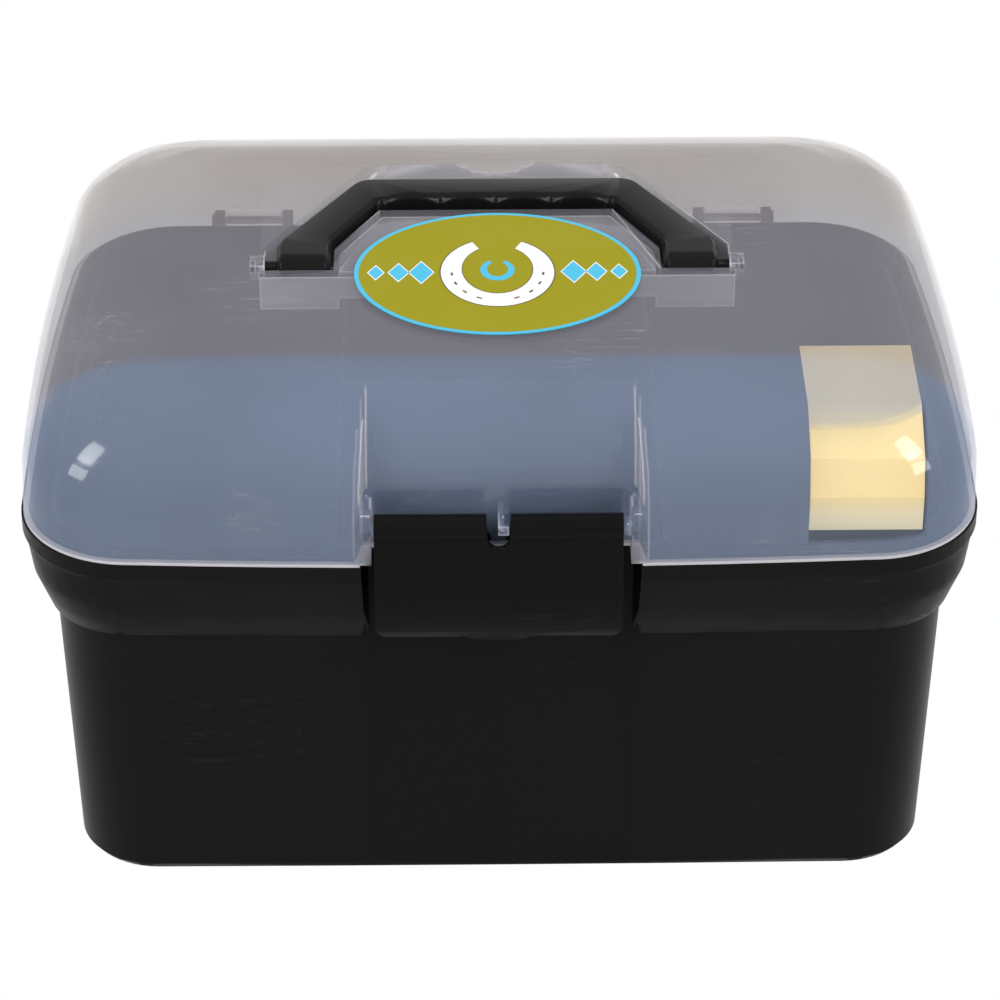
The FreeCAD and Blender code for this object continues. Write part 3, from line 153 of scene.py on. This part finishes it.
def object_place(tree):
    """Object coordinates, whole and split, in metres."""
    place = add_node(tree, "ShaderNodeTexCoord").outputs["Object"]
    split = add_node(tree, "ShaderNodeSeparateXYZ", Vector=place)
    return place, split.outputs["X"], split.outputs["Y"], split.outputs["Z"]


# %% [markdown]
# Every plastic face here has been handled and wiped: very fine scratches, a few longer ones, faint
# smears, and the slow waviness of a moulding. One shader group makes all of that, and each material
# sets how much of it shows. It puts out a roughness change, a height for a bump, and a scratch mask.

# %% A group for handled plastic
GROUP_SOCKETS = (("Smear", 0.1), ("Scratches", 0.5), ("Waviness", 0.5), ("Grain", 0.2))
SCRATCH_SETS = ((0.35, 14.0, 20.0), (-0.6, 18.0, 16.0), (1.2, 16.0, 18.0))
SCRATCH_DEPTH = 0.02
SCRATCH_DULLNESS = 0.15
GRAIN_HEIGHT = 0.01


def build_handled_plastic():
    group = bpy.data.node_groups.new("handled_plastic", "ShaderNodeTree")
    group.interface.new_socket("Place", in_out="INPUT", socket_type="NodeSocketVector")
    for name, start in GROUP_SOCKETS:
        socket = group.interface.new_socket(name, in_out="INPUT", socket_type="NodeSocketFloat")
        socket.default_value = start
    for name in ("Roughness Change", "Height", "Scratch Mask"):
        group.interface.new_socket(name, in_out="OUTPUT", socket_type="NodeSocketFloat")
    given = group.nodes.new("NodeGroupInput").outputs
    smear = add_node(group, "ShaderNodeTexNoise", Vector=given["Place"], Scale=14.0, Detail=4.0,
                     Roughness=0.6).outputs[0]
    wave = add_node(group, "ShaderNodeTexNoise", Vector=given["Place"], Scale=9.0, Detail=1.0).outputs[0]
    grain = add_node(group, "ShaderNodeTexNoise", Vector=given["Place"], Scale=1400.0,
                     Detail=2.0).outputs[0]
    scratches = None
    for turn, stretch, scale in SCRATCH_SETS:
        turned = add_node(group, "ShaderNodeMapping", Vector=given["Place"],
                          Rotation=(0.3, turn * 0.4, turn), Scale=(1.0, stretch, stretch)).outputs["Vector"]
        streak = add_node(group, "ShaderNodeTexNoise", Vector=turned, Scale=scale, Detail=1.0,
                          Roughness=0.4).outputs[0]
        away = maths(group, "ABSOLUTE", maths(group, "SUBTRACT", streak, 0.5))
        thin = ramp(group, away, 0.0, 0.012, 1.0, 0.0)
        patch = add_node(group, "ShaderNodeTexNoise", Vector=given["Place"], Scale=scale * 0.8).outputs[0]
        thin = maths(group, "MULTIPLY", thin, ramp(group, patch, 0.6, 0.68))
        scratches = thin if scratches is None else maths(group, "MAXIMUM", scratches, thin)
    scratches = maths(group, "MULTIPLY", scratches, given["Scratches"])
    change = maths(group, "MULTIPLY", maths(group, "SUBTRACT", smear, 0.5), given["Smear"])
    change = maths(group, "ADD", change, maths(group, "MULTIPLY", scratches, SCRATCH_DULLNESS))
    height = maths(group, "MULTIPLY", wave, given["Waviness"])
    fine = maths(group, "MULTIPLY", grain, maths(group, "MULTIPLY", given["Grain"], GRAIN_HEIGHT))
    height = maths(group, "ADD", height, fine)
    height = maths(group, "SUBTRACT", height, maths(group, "MULTIPLY", scratches, SCRATCH_DEPTH))
    leave = group.nodes.new("NodeGroupOutput").inputs
    group.links.new(change, leave["Roughness Change"])
    group.links.new(height, leave["Height"])
    group.links.new(scratches, leave["Scratch Mask"])
    return group


handled_plastic = build_handled_plastic()


def handle_marks(tree, shader, place, roughness, smear, scratches, waviness, grain, depth):
    """Put the group in a material, joined to roughness and normal; gives the scratch mask."""
    marks = add_node(tree, "ShaderNodeGroup", {"node_tree": handled_plastic}, Place=place, Smear=smear,
                     Scratches=scratches, Waviness=waviness, Grain=grain)
    total = maths(tree, "ADD", roughness, marks.outputs["Roughness Change"], clamp=True)
    tree.links.new(total, shader.inputs["Roughness"])
    bump = add_node(tree, "ShaderNodeBump", Height=marks.outputs["Height"], Strength=1.0, Distance=depth)
    tree.links.new(bump.outputs["Normal"], shader.inputs["Normal"])
    return marks.outputs["Scratch Mask"]


# %% [markdown]
# The tub, the handle and the latch are black polypropylene from polished moulds. Black plastic is
# nearly all reflection, so its colour stays very dark and the gloss does the work. Scratches show
# on it as thin grey lines.

# %% Black plastic


def black_plastic(name, tint, roughness, specular, scratches=0.6, waviness=0.5, depth=0.4 * MM):
    material, tree, shader = new_material(name)
    place = object_place(tree)[0]
    shader.inputs["Specular IOR Level"].default_value = specular
    mask = handle_marks(tree, shader, place, roughness, 0.12, scratches, waviness, 0.3, depth)
    dust = add_node(tree, "ShaderNodeTexNoise", Vector=place, Scale=900.0, Detail=1.0).outputs[0]
    specks = maths(tree, "MULTIPLY", ramp(tree, dust, 0.74, 0.78), 0.25)
    worn = tuple(channel + 0.022 for channel in tint[:3]) + (1.0,)
    colour = blend(tree, maths(tree, "MAXIMUM", mask, specks), tint, worn)
    tree.links.new(colour, shader.inputs["Base Color"])
    return material


tub_black = black_plastic("tub_black", (0.0046, 0.0044, 0.0043, 1.0), 0.36, 0.065, 0.2, 0.15)
handle_black = black_plastic("handle_black", (0.004, 0.0045, 0.004, 1.0), 0.22, 0.11, 0.2, 0.1)
latch_black = black_plastic("latch_black", (0.003, 0.003, 0.003, 1.0), 0.24, 0.07, 0.2, 0.1)
tray_black = black_plastic("tray_black", (0.008, 0.009, 0.012, 1.0), 0.4, 0.12, 0.3, 0.3)
pin_black = black_plastic("pin_black", (0.01, 0.01, 0.011, 1.0), 0.4, 0.3)

# %% [markdown]
# The lid is unfilled polypropylene, which looks milky: it lets light through and also scatters some of
# it. Mixing a pale surface with transparency, on both faces of the wall, gives that look without noise.
# The trough walls are made denser by masks on the object's own coordinates, because the wall is thicker
# to the eye there. The channel sides get a painted highlight in the same denser tone and veil. The lower
# edge, and the remaining edges that a bevel node finds, get a painted highlight: a pale tone and a thicker
# veil where rounded edges catch the light. The front face is painted a darker blue shade, and the top is
# painted lighter, a painted light that turns warmer towards the back.
# Plastic that lies against paper looks clearer, so the veil thins over the card. Light that only
# passes through is dimmed less than sight is, because a milky wall scatters most of it forwards.
# The gloss is added on top, as strong where the veil is thin as where it is dense.

# %% Milky lid
LID_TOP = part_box("oval_label")[0].z
LID_EDGE = LID_TOP - 56.8 * MM
trough_low = LID_TOP - 15.5 * MM
handle_low_corner, handle_high_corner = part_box("carry_handle")
TROUGH_FRONT = handle_low_corner.y - 1.5 * MM
SHOULDER = -72 * MM
TROUGH_BACK = 72 * MM
TROUGH_HALF = 86 * MM
CHANNEL_SIDE = (44 * MM, 52.5 * MM)
# Painted shade and light: the front face a darker blue, the top lighter and warmer towards the back.
TINT_FRONT_PAINTED_SHADE = (0.185, 0.235, 0.345, 1.0)
TINT_TOP_PAINTED_LIGHT = (0.19, 0.185, 0.22, 1.0)
TINT_BACK_PAINTED_LIGHT = (0.20, 0.165, 0.15, 1.0)
# The dense tone is the thicker-looking trough wall, and also a painted highlight on the channel sides.
TINT_DENSE_AND_HIGHLIGHT = (0.38, 0.37, 0.40, 1.0)
# A painted highlight on rounded edges: this pale tone, and the thicker veil below.
TINT_PAINTED_RIM_HIGHLIGHT = (0.62, 0.60, 0.63, 1.0)
TINT_SCRATCH = (0.7, 0.7, 0.73, 1.0)
VEIL_THIN, VEIL_DENSE = 0.34, 0.62
VEIL_PAINTED_RIM_HIGHLIGHT = 0.22
VEIL_SCRATCH = 0.25
CLEARED_BY_CARD = 0.65
SHADOW_SHARE = 0.35
RIM_RADIUS = 1.5 * MM
GLOSS_SQUARE, GLOSS_SLANT = 0.024, 0.3
CARD_LOW, CARD_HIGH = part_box("folded_card")


def band(tree, source, low, high, soft):
    """One inside a band of a coordinate, nought outside it."""
    rise = ramp(tree, source, low - soft, low)
    fall = ramp(tree, source, high, high + soft, 1.0, 0.0)
    return maths(tree, "MULTIPLY", rise, fall)


def milky_lid():
    material, tree, shader = new_material("lid_milky")
    place, x, y, z = object_place(tree)
    facing = add_node(tree, "ShaderNodeSeparateXYZ",
                      Vector=add_node(tree, "ShaderNodeTexCoord").outputs["Normal"])
    upward = maths(tree, "ABSOLUTE", facing.outputs["Z"])
    sideways = maths(tree, "ABSOLUTE", facing.outputs["X"])
    across = maths(tree, "ABSOLUTE", x)
    shader.inputs["Specular IOR Level"].default_value = 0.0
    mask = handle_marks(tree, shader, place, 0.07, 0.04, 0.22, 0.15, 0.0, 0.35 * MM)
    # Painted shade and light: the front face darker and bluer, the top lighter and warmer towards the back.
    top_painted_light = blend(tree, ramp(tree, y, 10 * MM, 70 * MM), TINT_TOP_PAINTED_LIGHT, TINT_BACK_PAINTED_LIGHT)
    colour = blend(tree, ramp(tree, y, SHOULDER - 5 * MM, SHOULDER + 5 * MM), TINT_FRONT_PAINTED_SHADE, top_painted_light)
    in_trough = maths(tree, "MULTIPLY", band(tree, z, trough_low, LID_TOP - 0.9 * MM, 0.4 * MM),
                      band(tree, y, TROUGH_FRONT - 2 * MM, TROUGH_BACK, 1 * MM))
    within = ramp(tree, across, TROUGH_HALF, TROUGH_HALF + 1 * MM, 1.0, 0.0)
    in_trough = maths(tree, "MULTIPLY", in_trough, within)
    wall = maths(tree, "MULTIPLY", in_trough, ramp(tree, upward, 0.5, 0.9, 1.0, 0.35))
    # A painted highlight on the channel sides, in the denser tone and veil.
    channel = maths(tree, "MULTIPLY", band(tree, across, *CHANNEL_SIDE, 0.5 * MM),
                    ramp(tree, y, -66 * MM, -60 * MM, 1.0, 0.0))
    channel = maths(tree, "MULTIPLY", channel, ramp(tree, sideways, 0.55, 0.9))
    # A painted highlight along the lid's lower edge, joined below with the bevel's edges.
    lower_edge_painted_highlight = ramp(tree, z, LID_EDGE + 0.8 * MM, LID_EDGE + 1.6 * MM, 1.0, 0.0)
    dense_and_highlight = maths(tree, "MAXIMUM", wall, maths(tree, "MULTIPLY", channel, 0.6))
    rounded = add_node(tree, "ShaderNodeBevel", {"samples": 4}, Radius=RIM_RADIUS).outputs["Normal"]
    true_normal = add_node(tree, "ShaderNodeNewGeometry").outputs["Normal"]
    agree = add_node(tree, "ShaderNodeVectorMath", {"operation": "DOT_PRODUCT"}, i0=rounded, i1=true_normal)
    # rim is a painted highlight on rounded edges: a pale tone and a thicker veil.
    rim = maths(tree, "MAXIMUM", ramp(tree, agree.outputs["Value"], 0.88, 0.99, 1.0, 0.0), lower_edge_painted_highlight)
    cloud = add_node(tree, "ShaderNodeTexNoise", Vector=place, Scale=11.0, Detail=3.0).outputs[0]
    cloudy = ramp(tree, cloud, 0.3, 0.7, -0.03, 0.03)
    colour = blend(tree, dense_and_highlight, colour, TINT_DENSE_AND_HIGHLIGHT)
    colour = blend(tree, rim, colour, TINT_PAINTED_RIM_HIGHLIGHT)
    colour = blend(tree, mask, colour, TINT_SCRATCH)
    tree.links.new(colour, shader.inputs["Base Color"])
    veil = maths(tree, "ADD", cloudy, ramp(tree, dense_and_highlight, 0.0, 1.0, VEIL_THIN, VEIL_DENSE))
    veil = maths(tree, "ADD", veil, maths(tree, "MULTIPLY", rim, VEIL_PAINTED_RIM_HIGHLIGHT))
    on_card = maths(tree, "MULTIPLY", band(tree, x, CARD_LOW.x, CARD_HIGH.x, 1.5 * MM),
                    band(tree, z, CARD_LOW.z, CARD_HIGH.z, 1.0 * MM))
    on_card = maths(tree, "MULTIPLY", on_card, ramp(tree, y, CARD_HIGH.y, CARD_HIGH.y + 2 * MM, 1.0, 0.0))
    cleared = maths(tree, "SUBTRACT", 1.0, maths(tree, "MULTIPLY", on_card, CLEARED_BY_CARD))
    veil = maths(tree, "MULTIPLY", veil, cleared)
    veil = maths(tree, "ADD", veil, maths(tree, "MULTIPLY", mask, VEIL_SCRATCH), clamp=True)
    shadow = add_node(tree, "ShaderNodeLightPath").outputs["Is Shadow Ray"]
    veil = maths(tree, "MULTIPLY", veil, ramp(tree, shadow, 0.0, 1.0, 1.0, SHADOW_SHARE))
    tree.links.new(veil, shader.inputs["Alpha"])
    marked = shader.inputs["Normal"].links[0].from_socket
    slant = add_node(tree, "ShaderNodeLayerWeight", Blend=0.5, Normal=marked).outputs["Facing"]
    glancing = maths(tree, "MULTIPLY", maths(tree, "POWER", slant, 5.0), GLOSS_SLANT)
    share = maths(tree, "ADD", glancing, GLOSS_SQUARE, clamp=True)
    gloss = add_node(tree, "ShaderNodeBsdfAnisotropic", Roughness=0.09, Normal=marked,
                     Color=blend(tree, share, (0.0, 0.0, 0.0, 1.0), (1.0, 1.0, 1.0, 1.0)))
    both = add_node(tree, "ShaderNodeAddShader", i0=shader.outputs["BSDF"], i1=gloss.outputs["BSDF"])
    tree.links.new(both.outputs["Shader"], tree.nodes["Material Output"].inputs["Surface"])
    return material


lid_milky = milky_lid()

# %% [markdown]
# The pieces get their finishes here. The handle, the latch and the pins turn in fine steps, so their
# crease angle is wider than the others', and the highlight runs round them without a break.

# %% Dress the solid pieces
SMOOTH_ANGLE = math.radians(40)
dress("base_tub", "tub", tub_black)
dress("lid", "lid", lid_milky)
dress("carry_handle", "handle", handle_black, SMOOTH_ANGLE)
dress("front_latch", "latch", latch_black, SMOOTH_ANGLE)
dress("lift_out_tray", "tray", tray_black)
for side in ("left", "right"):
    dress("hinge_pin_" + side, "tub", pin_black, SMOOTH_ANGLE)

# %% [markdown]
# The card behind the lid is printed stock, bent to the curve. Paper has no gloss, a fine fibre grain,
# and a slight change of tone over its length, so two noises at very different scales are enough.

# %% Card
CARD_FADE = (46 * MM, 34 * MM)
CARD_FOLD = (14.5 * MM, 13.0 * MM)


def card_stock():
    material, tree, shader = new_material("card_stock")
    place, x, y, z = object_place(tree)
    shader.inputs["Specular IOR Level"].default_value = 0.15
    fibre = add_node(tree, "ShaderNodeTexNoise", Vector=place, Scale=2600.0, Detail=2.0).outputs[0]
    tone = add_node(tree, "ShaderNodeTexNoise", Vector=place, Scale=30.0, Detail=2.0).outputs[0]
    colour = blend(tree, ramp(tree, tone, 0.3, 0.7), (0.86, 0.63, 0.22, 1.0), (0.9, 0.69, 0.28, 1.0))
    low_end = ramp(tree, z, LID_TOP - CARD_FADE[0], LID_TOP - CARD_FADE[1], 0.7, 0.0)
    colour = blend(tree, low_end, colour, (0.76, 0.7, 0.5, 1.0))
    folded = ramp(tree, z, LID_TOP - CARD_FOLD[0], LID_TOP - CARD_FOLD[1])
    colour = blend(tree, folded, colour, (0.78, 0.62, 0.30, 1.0))
    colour = blend(tree, ramp(tree, fibre, 0.35, 0.75, 0.0, 0.15), colour, (0.9, 0.86, 0.7, 1.0))
    tree.links.new(colour, shader.inputs["Base Color"])
    tree.links.new(ramp(tree, fibre, 0.3, 0.7, 0.7, 0.9), shader.inputs["Roughness"])
    bump = add_node(tree, "ShaderNodeBump", Height=fibre, Strength=0.3, Distance=0.05 * MM)
    tree.links.new(bump.outputs["Normal"], shader.inputs["Normal"])
    return material


dress("folded_card", "lid", card_stock())

# %% [markdown]
# The label is a film printed in flat colours: a light blue border, an olive field, and a white
# horseshoe with blue diamonds beside it. Flat prints in very thin layers stay crisp at any
# distance. Each layer is a prism a few hundredths of a millimetre thick, the upper ones smaller.

# %% Printed inks


def printed_ink(name, colour, mottle=0.06):
    material, tree, shader = new_material(name)
    place = object_place(tree)[0]
    shader.inputs["Specular IOR Level"].default_value = 0.1
    fine = add_node(tree, "ShaderNodeTexNoise", Vector=place, Scale=700.0, Detail=3.0).outputs[0]
    broad = add_node(tree, "ShaderNodeTexNoise", Vector=place, Scale=25.0, Detail=2.0).outputs[0]
    darker = tuple(channel * (1 - 2 * mottle) for channel in colour[:3]) + (1.0,)
    mixed = blend(tree, maths(tree, "MULTIPLY", fine, 0.8), darker, colour)
    shaded = blend(tree, ramp(tree, broad, 0.3, 0.7, 0.0, 0.3), mixed, darker)
    tree.links.new(shaded, shader.inputs["Base Color"])
    tree.links.new(ramp(tree, broad, 0.3, 0.7, 0.3, 0.42), shader.inputs["Roughness"])
    bump = add_node(tree, "ShaderNodeBump", Height=fine, Strength=0.25, Distance=0.03 * MM)
    tree.links.new(bump.outputs["Normal"], shader.inputs["Normal"])
    return material


ink_blue = printed_ink("ink_blue", (0.07, 0.45, 0.66, 1.0))
ink_olive = printed_ink("ink_olive", (0.27, 0.245, 0.002, 1.0), 0.04)
ink_white = printed_ink("ink_white", (0.74, 0.74, 0.76, 1.0), 0.03)
ink_brown = printed_ink("ink_brown", (0.10, 0.075, 0.03, 1.0))

# %% Flat prints
label_low, label_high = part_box("oval_label")
label_centre = (label_low + label_high) / 2
label_half = (label_high - label_low) / 2
LAYER = 0.03 * MM


def flat_print(work, outline, level, material_index):
    """Add a thin prism with this outline, as (x, y) about the label's centre, on a print layer."""
    low = label_high.z + (level - 1) * LAYER
    if level == 0:
        low = label_low.z
    high = label_high.z + level * LAYER
    rings = []
    for height in (low, high):
        rings.append([work.verts.new((label_centre.x + x, label_centre.y + y, height)) for x, y in outline])
    lower, upper = rings
    faces = [work.faces.new(list(reversed(lower))), work.faces.new(upper)]
    for index in range(len(outline)):
        following = (index + 1) % len(outline)
        faces.append(work.faces.new((lower[index], lower[following], upper[following], upper[index])))
    for face in faces:
        face.material_index = material_index


def ellipse(half_x, half_y, count=144):
    turn = 2 * math.pi / count
    return [(half_x * math.cos(turn * step), half_y * math.sin(turn * step)) for step in range(count)]


def diamond(x, y, half_x, half_y):
    return [(x + half_x, y), (x, y + half_y), (x - half_x, y), (x, y - half_y)]


# %% [markdown]
# A horseshoe is a bent bar, widest at the toe and narrow at the heels. Its outline follows an
# oval arc outside and another inside. The open side points up, as on a stable door.

# %% Horseshoe outline
SHOE_OPEN = math.radians(52)


def horseshoe(half_x, half_y, bar, swell, x=0.0, y=0.0, steps=40):
    """Outer arc and inner arc of a shoe that opens upwards."""
    outer = []
    inner = []
    for step in range(steps + 1):
        share = step / steps
        angle = math.pi / 2 + SHOE_OPEN / 2 + share * (2 * math.pi - SHOE_OPEN)
        width = bar * (0.62 + swell * math.sin(math.pi * share))
        across, along = math.cos(angle), math.sin(angle)
        outer.append((x + half_x * across, y + half_y * along))
        inner.append((x + (half_x - width) * across, y + (half_y - width) * along))
    return outer + inner[::-1]


# %% [markdown]
# The nail holes repeat along the shoe, four on each branch. That is a job for Geometry Nodes: a curve
# gives the path, points are spread along it, and a small slot is placed at each point and turned to
# follow the bar.

# %% Geometry Nodes: marks along a path


def marks_along_path(name, material):
    """A tree that puts a small flat slot at even steps along a curve."""
    tree = bpy.data.node_groups.new(name, "GeometryNodeTree")
    tree.interface.new_socket("Geometry", in_out="INPUT", socket_type="NodeSocketGeometry")
    for label, kind, start in (("Count", "NodeSocketInt", 4),
                               ("Length", "NodeSocketFloat", 2.0 * MM),
                               ("Width", "NodeSocketFloat", 0.8 * MM),
                               ("Thickness", "NodeSocketFloat", LAYER)):
        tree.interface.new_socket(label, in_out="INPUT", socket_type=kind).default_value = start
    tree.interface.new_socket("Geometry", in_out="OUTPUT", socket_type="NodeSocketGeometry")
    given = tree.nodes.new("NodeGroupInput").outputs
    points = add_node(tree, "GeometryNodeCurveToPoints", {"mode": "COUNT"}, Curve=given["Geometry"],
                      Count=given["Count"])
    size = add_node(tree, "ShaderNodeCombineXYZ", X=given["Width"], Y=given["Thickness"], Z=given["Length"])
    slot = add_node(tree, "GeometryNodeMeshCube", Size=size.outputs["Vector"])
    placed = add_node(tree, "GeometryNodeInstanceOnPoints", Points=points.outputs["Points"],
                      Instance=slot.outputs["Mesh"], Rotation=points.outputs["Rotation"])
    real = add_node(tree, "GeometryNodeRealizeInstances", Geometry=placed.outputs["Instances"])
    inked = add_node(tree, "GeometryNodeSetMaterial", Geometry=real.outputs["Geometry"])
    inked.inputs["Material"].default_value = material
    tree.links.new(inked.outputs["Geometry"], tree.nodes.new("NodeGroupOutput").inputs["Geometry"])
    return tree


def run_marks(tree, path, **sizes):
    """Evaluate the tree on a path of points and give the plain mesh."""
    curve = bpy.data.curves.new("mark_path", "CURVE")
    curve.dimensions = "3D"
    spline = curve.splines.new("POLY")
    spline.points.add(len(path) - 1)
    for point, spot in zip(spline.points, path):
        point.co = (*spot, 1.0)
    carrier = bpy.data.objects.new("mark_carrier", curve)
    bpy.context.scene.collection.objects.link(carrier)
    modifier = carrier.modifiers.new("marks", "NODES")
    modifier.node_group = tree
    for socket in tree.interface.items_tree:
        if socket.in_out == "INPUT" and socket.name in sizes:
            modifier[socket.identifier] = sizes[socket.name]
    bpy.context.view_layer.update()
    evaluated = carrier.evaluated_get(bpy.context.evaluated_depsgraph_get())
    mesh = bpy.data.meshes.new_from_object(evaluated)
    bpy.data.objects.remove(carrier)
    return mesh


# %% Label artwork
PRINTS = (ink_blue, ink_olive, ink_brown, ink_white)
BLUE, OLIVE, BROWN, WHITE = range(4)
BORDER = 1.6 * MM
DIAMOND_START, DIAMOND_STEP = 27.5 * MM, 8.2 * MM
DIAMOND_HALF, DIAMOND_SHRINK = 4.3 * MM, 0.8 * MM
artwork = bmesh.new()
flat_print(artwork, ellipse(label_half.x, label_half.y), 0, BLUE)
flat_print(artwork, ellipse(label_half.x - BORDER, label_half.y - BORDER), 1, OLIVE)
SHOE = (20.5 * MM, 24.5 * MM, 9.0 * MM, 0.38)
rim = 0.45 * MM
flat_print(artwork, horseshoe(SHOE[0] + rim, SHOE[1] + rim, SHOE[2] + 2 * rim, SHOE[3]), 2, BROWN)
flat_print(artwork, horseshoe(*SHOE), 3, WHITE)
for side in (-1, 1):
    for number in range(3):
        spot = side * (DIAMOND_START + DIAMOND_STEP * number)
        half = DIAMOND_HALF - DIAMOND_SHRINK * number
        flat_print(artwork, diamond(spot, 0.0, half + 0.5 * MM, 1.75 * half + 0.9 * MM), 2, WHITE)
        flat_print(artwork, diamond(spot, 0.0, half, 1.75 * half), 3, BLUE)
small_shoe = (6.2 * MM, 7.6 * MM, 2.9 * MM, 0.38)
flat_print(artwork, horseshoe(*small_shoe, 0.0, 1.5 * MM), 2, BLUE)
artwork_mesh = bpy.data.meshes.new("label_print")
artwork.to_mesh(artwork_mesh)
artwork.free()
for ink in PRINTS:
    artwork_mesh.materials.append(ink)

# %% Nail holes on the shoe
nail_tree = marks_along_path("nail_slots", ink_brown)
label_print = bpy.data.objects.new("label_print", artwork_mesh)
bpy.context.scene.collection.objects.link(label_print)
NAIL_ARC = math.radians(62)
joined = bmesh.new()
joined.from_mesh(artwork_mesh)
for side in (-1, 1):
    path = []
    for step in range(25):
        angle = -math.pi / 2 + side * (math.radians(24) + NAIL_ARC * step / 24)
        path.append((label_centre.x + (SHOE[0] - 4.0 * MM) * math.cos(angle),
                     label_centre.y + (SHOE[1] - 4.2 * MM) * math.sin(angle),
                     label_high.z + 3.5 * LAYER))
    slots = run_marks(nail_tree, path, Count=4, Length=2.1 * MM, Width=0.8 * MM, Thickness=LAYER)
    before = len(joined.faces)
    joined.from_mesh(slots)
    joined.faces.ensure_lookup_table()
    for face in joined.faces[before:]:
        face.material_index = BROWN
joined.to_mesh(artwork_mesh)
joined.free()
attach(label_print, "lid")
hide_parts("oval_label")
print("label print has", len(artwork_mesh.polygons), "faces")

# %% [markdown]
# The studio: a pale floor that is plain white to the camera and in reflections, two soft boxes at
# each side whose reflections curl round the lid's shoulders, and one large soft box overhead, which
# lights the box without showing as a streak on it.

# %% Floor
WHITE_LIGHT = (1.0, 1.0, 1.0, 1.0)
FLOOR_HALF = 6.0


def floor_material():
    material, tree, shader = new_material("floor_paper")
    place = object_place(tree)[0]
    shader.inputs["Specular IOR Level"].default_value = 0.0
    fine = add_node(tree, "ShaderNodeTexNoise", Vector=place, Scale=40.0).outputs[0]
    paper = blend(tree, fine, (0.80, 0.80, 0.80, 1.0), (0.82, 0.82, 0.82, 1.0))
    tree.links.new(paper, shader.inputs["Base Color"])
    shader.inputs["Roughness"].default_value = 0.9
    rays = add_node(tree, "ShaderNodeLightPath").outputs
    seen = maths(tree, "ADD", rays["Is Camera Ray"], rays["Is Glossy Ray"])
    seen = maths(tree, "ADD", seen, rays["Is Transmission Ray"], clamp=True)
    glow = add_node(tree, "ShaderNodeEmission", Color=WHITE_LIGHT, Strength=1.0).outputs["Emission"]
    both = add_node(tree, "ShaderNodeMixShader", i0=seen, i1=shader.outputs["BSDF"], i2=glow)
    tree.links.new(both.outputs["Shader"], tree.nodes["Material Output"].inputs["Surface"])
    return material


floor_mesh = bpy.data.meshes.new("floor")
floor_corners = [(x * FLOOR_HALF, y * FLOOR_HALF, 0.0) for x, y in ((-1, -1), (1, -1), (1, 1), (-1, 1))]
floor_mesh.from_pydata(floor_corners, [], [(0, 1, 2, 3)])
floor = bpy.data.objects.new("floor", floor_mesh)
bpy.context.scene.collection.objects.link(floor)
floor_mesh.materials.append(floor_material())

# %% Light
WORLD_GLOW = 0.45
world = bpy.data.worlds.new("studio")
bpy.context.scene.world = world
world.use_nodes = True
tree = world.node_tree
rays = add_node(tree, "ShaderNodeLightPath").outputs
seen = maths(tree, "ADD", rays["Is Camera Ray"], rays["Is Glossy Ray"])
seen = maths(tree, "ADD", seen, rays["Is Transmission Ray"], clamp=True)
strength = ramp(tree, seen, 0.0, 1.0, WORLD_GLOW, 1.0)
tree.links.new(strength, tree.nodes["Background"].inputs["Strength"])
tree.nodes["Background"].inputs["Color"].default_value = WHITE_LIGHT


def soft_box(name, place, target, width, height, watts, tint=(1.0, 1.0, 1.0)):
    lamp = bpy.data.lights.new(name, "AREA")
    lamp.shape = "RECTANGLE"
    lamp.size = width
    lamp.size_y = height
    lamp.energy = watts
    lamp.color = tint
    holder = bpy.data.objects.new(name, lamp)
    bpy.context.scene.collection.objects.link(holder)
    holder.location = place
    holder.rotation_euler = (Vector(target) - Vector(place)).to_track_quat("-Z", "Y").to_euler()
    return holder


MIDDLE = (0.0, 0.0, 0.12)
overhead = soft_box("overhead", (0.0, 0.25, 1.9), MIDDLE, 1.5, 1.1, 16.0)
overhead.visible_glossy = False
for side in (-1, 1):
    soft_box("side_high_%d" % side, (side * 1.25, -0.75, 1.25), MIDDLE, 0.5, 0.55, 11.0)
    soft_box("side_low_%d" % side, (side * 1.35, -0.85, 0.62), MIDDLE, 0.5, 0.36, 6.0)

# %% [markdown]
# The camera looks down at the front from the photograph's angle, with a long lens, so the sides
# converge only a little.

# %% Camera
camera_data = bpy.data.cameras.new("camera")
camera_data.sensor_width = 36.0
camera_data.lens = 144.0
camera = bpy.data.objects.new("camera", camera_data)
bpy.context.scene.collection.objects.link(camera)
ELEVATION = math.radians(33.0)
AZIMUTH = math.radians(-0.75)
DISTANCE = 1.514
AIM = Vector((0.0011, 0.0, 0.0914))
back = Vector((math.sin(AZIMUTH) * math.cos(ELEVATION), -math.cos(AZIMUTH) * math.cos(ELEVATION),
               math.sin(ELEVATION)))
camera.location = AIM + back * DISTANCE
camera.rotation_euler = (math.pi / 2 - ELEVATION, 0.0, AZIMUTH)
bpy.context.scene.camera = camera
bpy.context.scene.view_settings.view_transform = "Standard"
